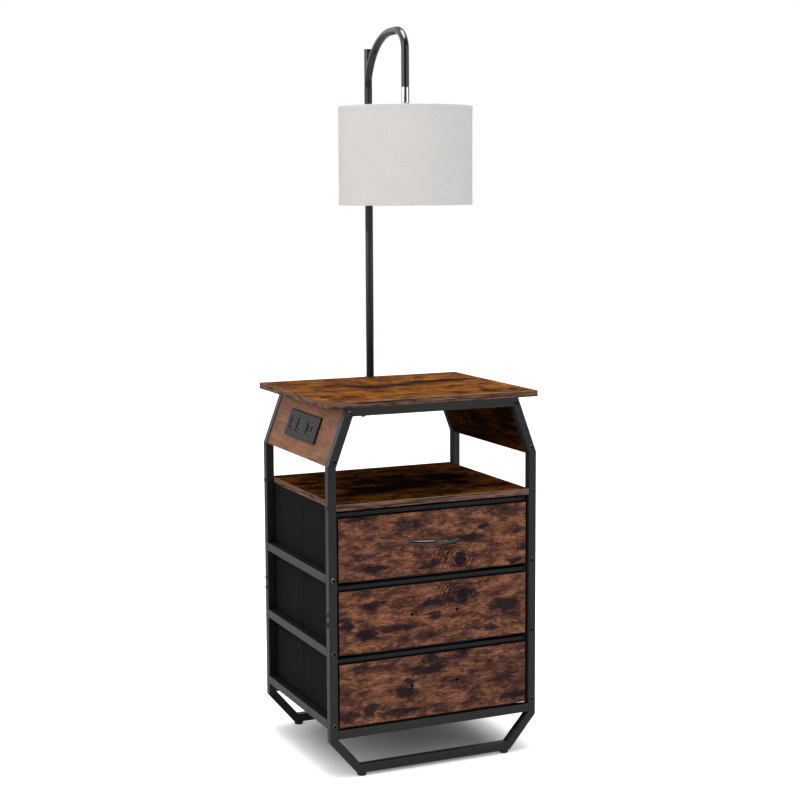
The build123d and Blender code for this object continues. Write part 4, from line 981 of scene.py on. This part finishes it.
class NIGHTSTAND_OT_shade(bpy.types.Operator):
    """Make the drum shade: linen with folded edges, its liner and its two wire rings"""

    bl_idname = "nightstand.shade"
    bl_label = "Shade"

    def wrap_map(self, bm, axis, radius):
        """Give a turned shell a map of its arc length and height."""
        layer = bm.loops.layers.uv.new(CLOTH_MAP)
        for face in bm.faces:
            middle = face.calc_center_median() - axis
            face_turn = math.atan2(middle.y, middle.x)
            for loop in face.loops:
                point = loop.vert.co - axis
                turn = math.atan2(point.y, point.x)
                turn += FULL_TURN * round((face_turn - turn) / FULL_TURN)
                loop[layer].uv = (turn * radius, loop.vert.co.z)

    def execute(self, context):
        shape = context.scene.nightstand_shape
        low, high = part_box("shade_fabric")
        axis = box_centre("shade_fabric")
        axis.z = 0.0
        radius = (high.x - low.x) / 2
        hem = shape.shade_hem * MM
        proud = radius + 0.35 * MM
        inner = radius - 0.6 * MM
        soft = 0.4 * MM
        outside = [
            (inner, soft), (radius - 0.2 * MM, 0.0), (proud, 0.5 * MM), (proud, hem - soft), (radius, hem),
        ]
        bm = bmesh.new()
        turned(bm, axis, [
            *((reach, low.z + rise) for reach, rise in outside), (radius, (low.z + high.z) / 2),
            *((reach, high.z - fall) for reach, fall in reversed(outside)),
            (inner, high.z - hem), (inner, low.z + hem), (inner, low.z + soft),
        ], 128)
        self.wrap_map(bm, axis, radius)
        smooth(bm, math.radians(40.0))
        finish_piece("shade_linen", bm, "Shade linen", "lamp_head", ["shade_fabric"])

        bare = inner - 0.5 * MM
        base = low.z + hem * 0.6
        rim = high.z - hem * 0.6
        bm = bmesh.new()
        turned(bm, axis, [(inner, base), (inner, rim), (bare, rim), (bare, base), (inner, base)], 128)
        self.wrap_map(bm, axis, radius)
        smooth(bm)
        finish_piece("shade_lining", bm, "Shade liner", "lamp_head")

        wire = 1.2 * MM
        bm = bmesh.new()
        for height in (low.z + 2.5 * MM, high.z - 2.5 * MM):
            corners = bmesh.ops.create_circle(bm, segments=12, radius=wire)["verts"]
            rotate(bm, corners, QUARTER_TURN, "X")
            bmesh.ops.translate(bm, verts=corners, vec=(axis.x + bare - wire, axis.y, height))
            edges = list({edge for corner in corners for edge in corner.link_edges})
            bmesh.ops.spin(bm, geom=corners + edges, cent=axis, axis=(0, 0, 1), angle=FULL_TURN, steps=96,
                           use_merge=True)
        smooth(bm, math.radians(60.0))
        finish_piece("shade_wires", bm, "Zinc", "lamp_head", ["shade_rings"])
        return {"FINISHED"}


class NIGHTSTAND_OT_bins(bpy.types.Operator):
    """Make the three soft drawer bins with folded hems and side seams"""

    bl_idname = "nightstand.bins"
    bl_label = "Drawer bins"

    def cloth_map(self, bm):
        """Give each face a map laid flat along its own plane."""
        layer = bm.loops.layers.uv.new(CLOTH_MAP)
        for face in bm.faces:
            normal = face.normal
            for loop in face.loops:
                point = loop.vert.co
                if abs(normal.z) > max(abs(normal.x), abs(normal.y)):
                    loop[layer].uv = (point.x, point.y)
                elif abs(normal.x) > abs(normal.y):
                    loop[layer].uv = (point.y, point.z)
                else:
                    loop[layer].uv = (point.x, point.z)

    def open_box(self, bm, low, high, corner):
        """An open box with rounded upright corners and evenly cut walls."""
        add_box(bm, low, high)
        lid = [face for face in bm.faces if face.normal.z > 0.5]
        bmesh.ops.delete(bm, geom=lid, context="FACES_ONLY")
        upright = [edge for edge in bm.edges
                   if abs(edge.verts[0].co.z - edge.verts[1].co.z) > (high.z - low.z) / 2]
        round_edges(bm, upright, corner, 4)
        for way, cuts in (((1, 0, 0), 14), ((0, 1, 0), 12), ((0, 0, 1), 6)):
            for step in range(1, cuts):
                cut(bm, low.lerp(high, step / cuts), way)

    def relax(self, bm, low, high, swell, sag):
        """Let the free walls swell and wrinkle between their corners, and the floor hang a little."""
        centre = (low + high) / 2
        on_wall, off_corner = 0.98, 0.97
        for vert in bm.verts:
            point = vert.co
            across = (point.x - centre.x) / (high.x - low.x) * 2
            along = (point.y - centre.y) / (high.y - low.y) * 2
            up = (point.z - low.z) / (high.z - low.z)
            lift = math.sin(math.pi * min(max(up, 0.0), 1.0))
            wave = math.sin(point.y * 61.0 + point.z * 37.0) * math.sin(point.z * 53.0 + across * 3)
            bulge = swell * lift * (0.5 + 0.5 * wave)
            if abs(across) > on_wall and abs(along) < off_corner:
                vert.co.x += math.copysign(bulge * (1 - along ** 4), across)
            if along > on_wall and abs(across) < off_corner:
                vert.co.y += 2 * bulge * (1 - across ** 4)
            if up < 0.01:
                vert.co.z -= self.hang(across, sag)

    def hang(self, across, sag):
        """How far the floor hangs between the two ledges, at -1 to 1 across the bin."""
        fold, fold_width, ledge = 0.58, 0.10, 0.92
        taut = 0.72 * math.exp(-((across - fold) / fold_width) ** 2)
        return sag * (1.0 - taut) * math.sqrt(max(0.0, 1.0 - (across / ledge) ** 6))

    def bar(self, low, high, rounding):
        """A rounded bar of tape between two corners."""
        bm = bmesh.new()
        add_box(bm, low, high)
        round_edges(bm, bm.edges[:], rounding, 3)
        return bm

    def binding(self, drawer, low, high, sag):
        """The cloth tape round the drawer front: foot, sides, raised corners and the folded hem."""
        front_low, front_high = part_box(f"{drawer}_front")
        centre = Vector(((low.x + high.x) / 2, 0, 0))
        gap = 0.2 * MM
        near = front_high.y - 3.4 * MM
        far = front_high.y + 1.0 * MM
        hem_low = front_high.z + 1.2 * MM
        outer = high.x - gap - centre.x
        inner = front_high.x + gap - centre.x
        drop = 0.0 if drawer == DRAWERS[-1] else 2.2 * MM
        ear = 3.4 * MM
        fine = 0.7 * MM
        bold = 2.0 * MM
        sides = ((-outer, -inner), (inner, outer))
        posts = [((start, near, low.z - drop), (end, far, hem_low - gap), fine) for start, end in sides]
        ears = [((start, near + gap, hem_low), (end, far, high.z + ear), fine) for start, end in sides]
        hem = ((-outer, near - 1.0 * MM, hem_low), (outer, far, high.z - 0.4 * MM), bold)
        foot_low = Vector((-outer, near, low.z)) + centre
        foot_high = Vector((outer, far, front_low.z - gap)) + centre
        bm = self.bar(foot_low, foot_high, fine)
        for step in range(1, 24):
            cut(bm, foot_low.lerp(foot_high, step / 24), (1, 0, 0))
        for vert in bm.verts:
            if vert.co.z < (foot_low.z + foot_high.z) / 2:
                vert.co.z -= self.hang((vert.co.x - centre.x) / outer, sag)
        for start, end, rounding in (*posts, *ears, hem):
            join(bm, self.bar(Vector(start) + centre, Vector(end) + centre, rounding))
        self.cloth_map(bm)
        smooth(bm, math.radians(40.0))
        finish_piece(f"{drawer}_binding", bm, "Hem cloth", drawer)

    def execute(self, context):
        shape = context.scene.nightstand_shape
        hem = shape.hem * MM
        wall = shape.bin_wall * MM
        sag = shape.sag * MM
        swell = 0.6 * MM
        proud = 0.8 * MM
        for drawer in DRAWERS:
            low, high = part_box(f"{drawer}_fabric_bin")
            body_low = low + Vector((swell, proud, 0))
            body_high = high - Vector((swell, proud, swell))
            bm = bmesh.new()
            self.open_box(bm, body_low, body_high, 1.5 * MM)
            self.relax(bm, body_low, body_high, swell, sag)
            bmesh.ops.recalc_face_normals(bm, faces=bm.faces[:])
            if sum(face.normal.dot(face.calc_center_median() - (low + high) / 2) for face in bm.faces) < 0:
                bmesh.ops.reverse_faces(bm, faces=bm.faces[:])
            bmesh.ops.solidify(bm, geom=bm.faces[:], thickness=wall * 0.85)
            bm.normal_update()
            self.hem(bm, low, high, hem, wall, proud)
            for side in (-1, 1):
                self.seam(bm, low, high, hem, side)
            self.cloth_map(bm)
            for face in bm.faces:
                face.smooth = True
            finish_piece(f"{drawer}_cloth", bm, "Bin cloth", drawer, [f"{drawer}_fabric_bin"])
            self.binding(drawer, low, high, sag)
        return {"FINISHED"}

    def hem(self, bm, low, high, hem, wall, proud):
        """A folded band round the rim: a rounded profile swept round the corners."""
        half = Vector(((high.x - low.x) / 2, (high.y - low.y) / 2, 0))
        centre = (low + high) / 2
        corner = 2.0 * MM
        side_rise = 2.8 * MM
        least = 0.2 * MM
        foot = high.z - hem
        shoulder = high.z - 1.2 * MM
        crest = high.z - 0.4 * MM
        inside = -(wall + 2 * proud)
        section = [
            (0.0, foot), (0.0, shoulder), (-0.5 * MM, crest), (inside / 2, high.z),
            (inside + 0.5 * MM, crest), (inside, shoulder), (inside, foot),
        ]
        edges = []
        for inset, height in section:
            reach = max(corner + inset, least)
            out = corner - min(corner + inset - least, 0)
            loop = []
            for quarter, (side_x, side_y) in enumerate(((1, 1), (-1, 1), (-1, -1), (1, -1))):
                for step in range(5):
                    turn = QUARTER_TURN * (quarter + step / 4)
                    loop.append(bm.verts.new((
                        centre.x + side_x * (half.x - out) + math.cos(turn) * reach,
                        centre.y + side_y * (half.y - out) + math.sin(turn) * reach,
                        height + side_rise * math.sqrt(abs(math.cos(turn))),
                    )))
            edges.append([bm.edges.new(pair) for pair in zip(loop, loop[1:] + loop[:1])])
        for first, second in zip(edges, edges[1:] + edges[:1]):
            bmesh.ops.bridge_loops(bm, edges=first + second)

    def seam(self, bm, low, high, hem, side):
        """A stitched upright seam in the middle of a side wall."""
        wall_x = (high.x if side > 0 else low.x) - side * 1.15 * MM
        middle_y = (low.y + high.y) / 2
        end = 3.0 * MM
        add_box(bm, Vector((wall_x - 1.1 * MM, middle_y - 2.5 * MM, low.z + end)),
                Vector((wall_x + 1.1 * MM, middle_y + 2.5 * MM, high.z - hem - end)))


class NIGHTSTAND_OT_handle(bpy.types.Operator):
    """Make the bow handle of the top drawer"""

    bl_idname = "nightstand.handle"
    bl_label = "Bow handle"

    def execute(self, context):
        low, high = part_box("handle")
        centre = (low + high) / 2
        back = high.y
        thick = 6.4 * MM
        tall = high.z - low.z
        rise = back - low.y - thick / 2
        span = (high.x - low.x) / 2 - thick * 0.6
        radius = (span ** 2 + rise ** 2) / (2 * rise)
        hub = Vector((centre.x, back - rise + radius, centre.z))
        spare = math.radians(6.0)
        turn = math.asin(span / radius) + spare

        bm = bmesh.new()
        corners = bmesh.ops.create_circle(bm, segments=28, radius=0.5)["verts"]
        bmesh.ops.scale(bm, verts=corners, vec=(thick, tall, 1.0))
        rotate(bm, corners, QUARTER_TURN, "X")
        bmesh.ops.translate(bm, verts=corners, vec=hub + Vector((-radius, 0, 0)))
        rotate(bm, corners, QUARTER_TURN - turn, "Z", hub)
        bmesh.ops.spin(bm, geom=bm.verts[:] + bm.edges[:], cent=hub, axis=(0, 0, 1), angle=2 * turn, steps=56)
        cut(bm, (0, back, 0), (0, 1, 0), clear_outer=True)
        bmesh.ops.holes_fill(bm, edges=[edge for edge in bm.edges if len(edge.link_faces) < 2], sides=0)
        smooth(bm, math.radians(50.0))
        finish_piece("bow_handle", bm, "Handle lacquer", "drawer_top", ["handle"])
        return {"FINISHED"}


class NIGHTSTAND_PT_panel(bpy.types.Panel):
    """Lists the pieces in the sidebar"""

    bl_idname = "NIGHTSTAND_PT_panel"
    bl_label = "Nightstand"
    bl_space_type = "VIEW_3D"
    bl_region_type = "UI"
    bl_category = "Nightstand"

    def draw(self, context):
        for operator in OPERATORS:
            self.layout.operator(operator.bl_idname)
        for name, group in GROUPS.items():
            box = self.layout.box()
            for setting in group.__annotations__:
                box.prop(getattr(context.scene, name), setting)


GROUPS = {
    "nightstand_studio": StudioSettings,
    "nightstand_wood": WoodSettings,
    "nightstand_finish": FinishSettings,
    "nightstand_shape": ShapeSettings,
}
OPERATORS = (
    NIGHTSTAND_OT_studio,
    NIGHTSTAND_OT_finishes,
    NIGHTSTAND_OT_pole,
    NIGHTSTAND_OT_arm,
    NIGHTSTAND_OT_shade,
    NIGHTSTAND_OT_bins,
    NIGHTSTAND_OT_handle,
)


def register():
    """Register the settings, the operators and the panel."""
    for name, group in GROUPS.items():
        bpy.utils.register_class(group)
        setattr(bpy.types.Scene, name, PointerProperty(type=group))
    for item in (*OPERATORS, NIGHTSTAND_PT_panel):
        bpy.utils.register_class(item)


def unregister():
    """Take the panel, the operators and the settings away."""
    for item in (NIGHTSTAND_PT_panel, *reversed(OPERATORS)):
        bpy.utils.unregister_class(item)
    for name, group in reversed(list(GROUPS.items())):
        delattr(bpy.types.Scene, name)
        bpy.utils.unregister_class(group)


def main():
    """Make the studio and every piece."""
    register()
    bpy.ops.nightstand.studio()
    bpy.ops.nightstand.finishes()
    bpy.ops.nightstand.pole()
    bpy.ops.nightstand.arm()
    bpy.ops.nightstand.shade()
    bpy.ops.nightstand.bins()
    bpy.ops.nightstand.handle()


if __name__ == "__main__":
    main()
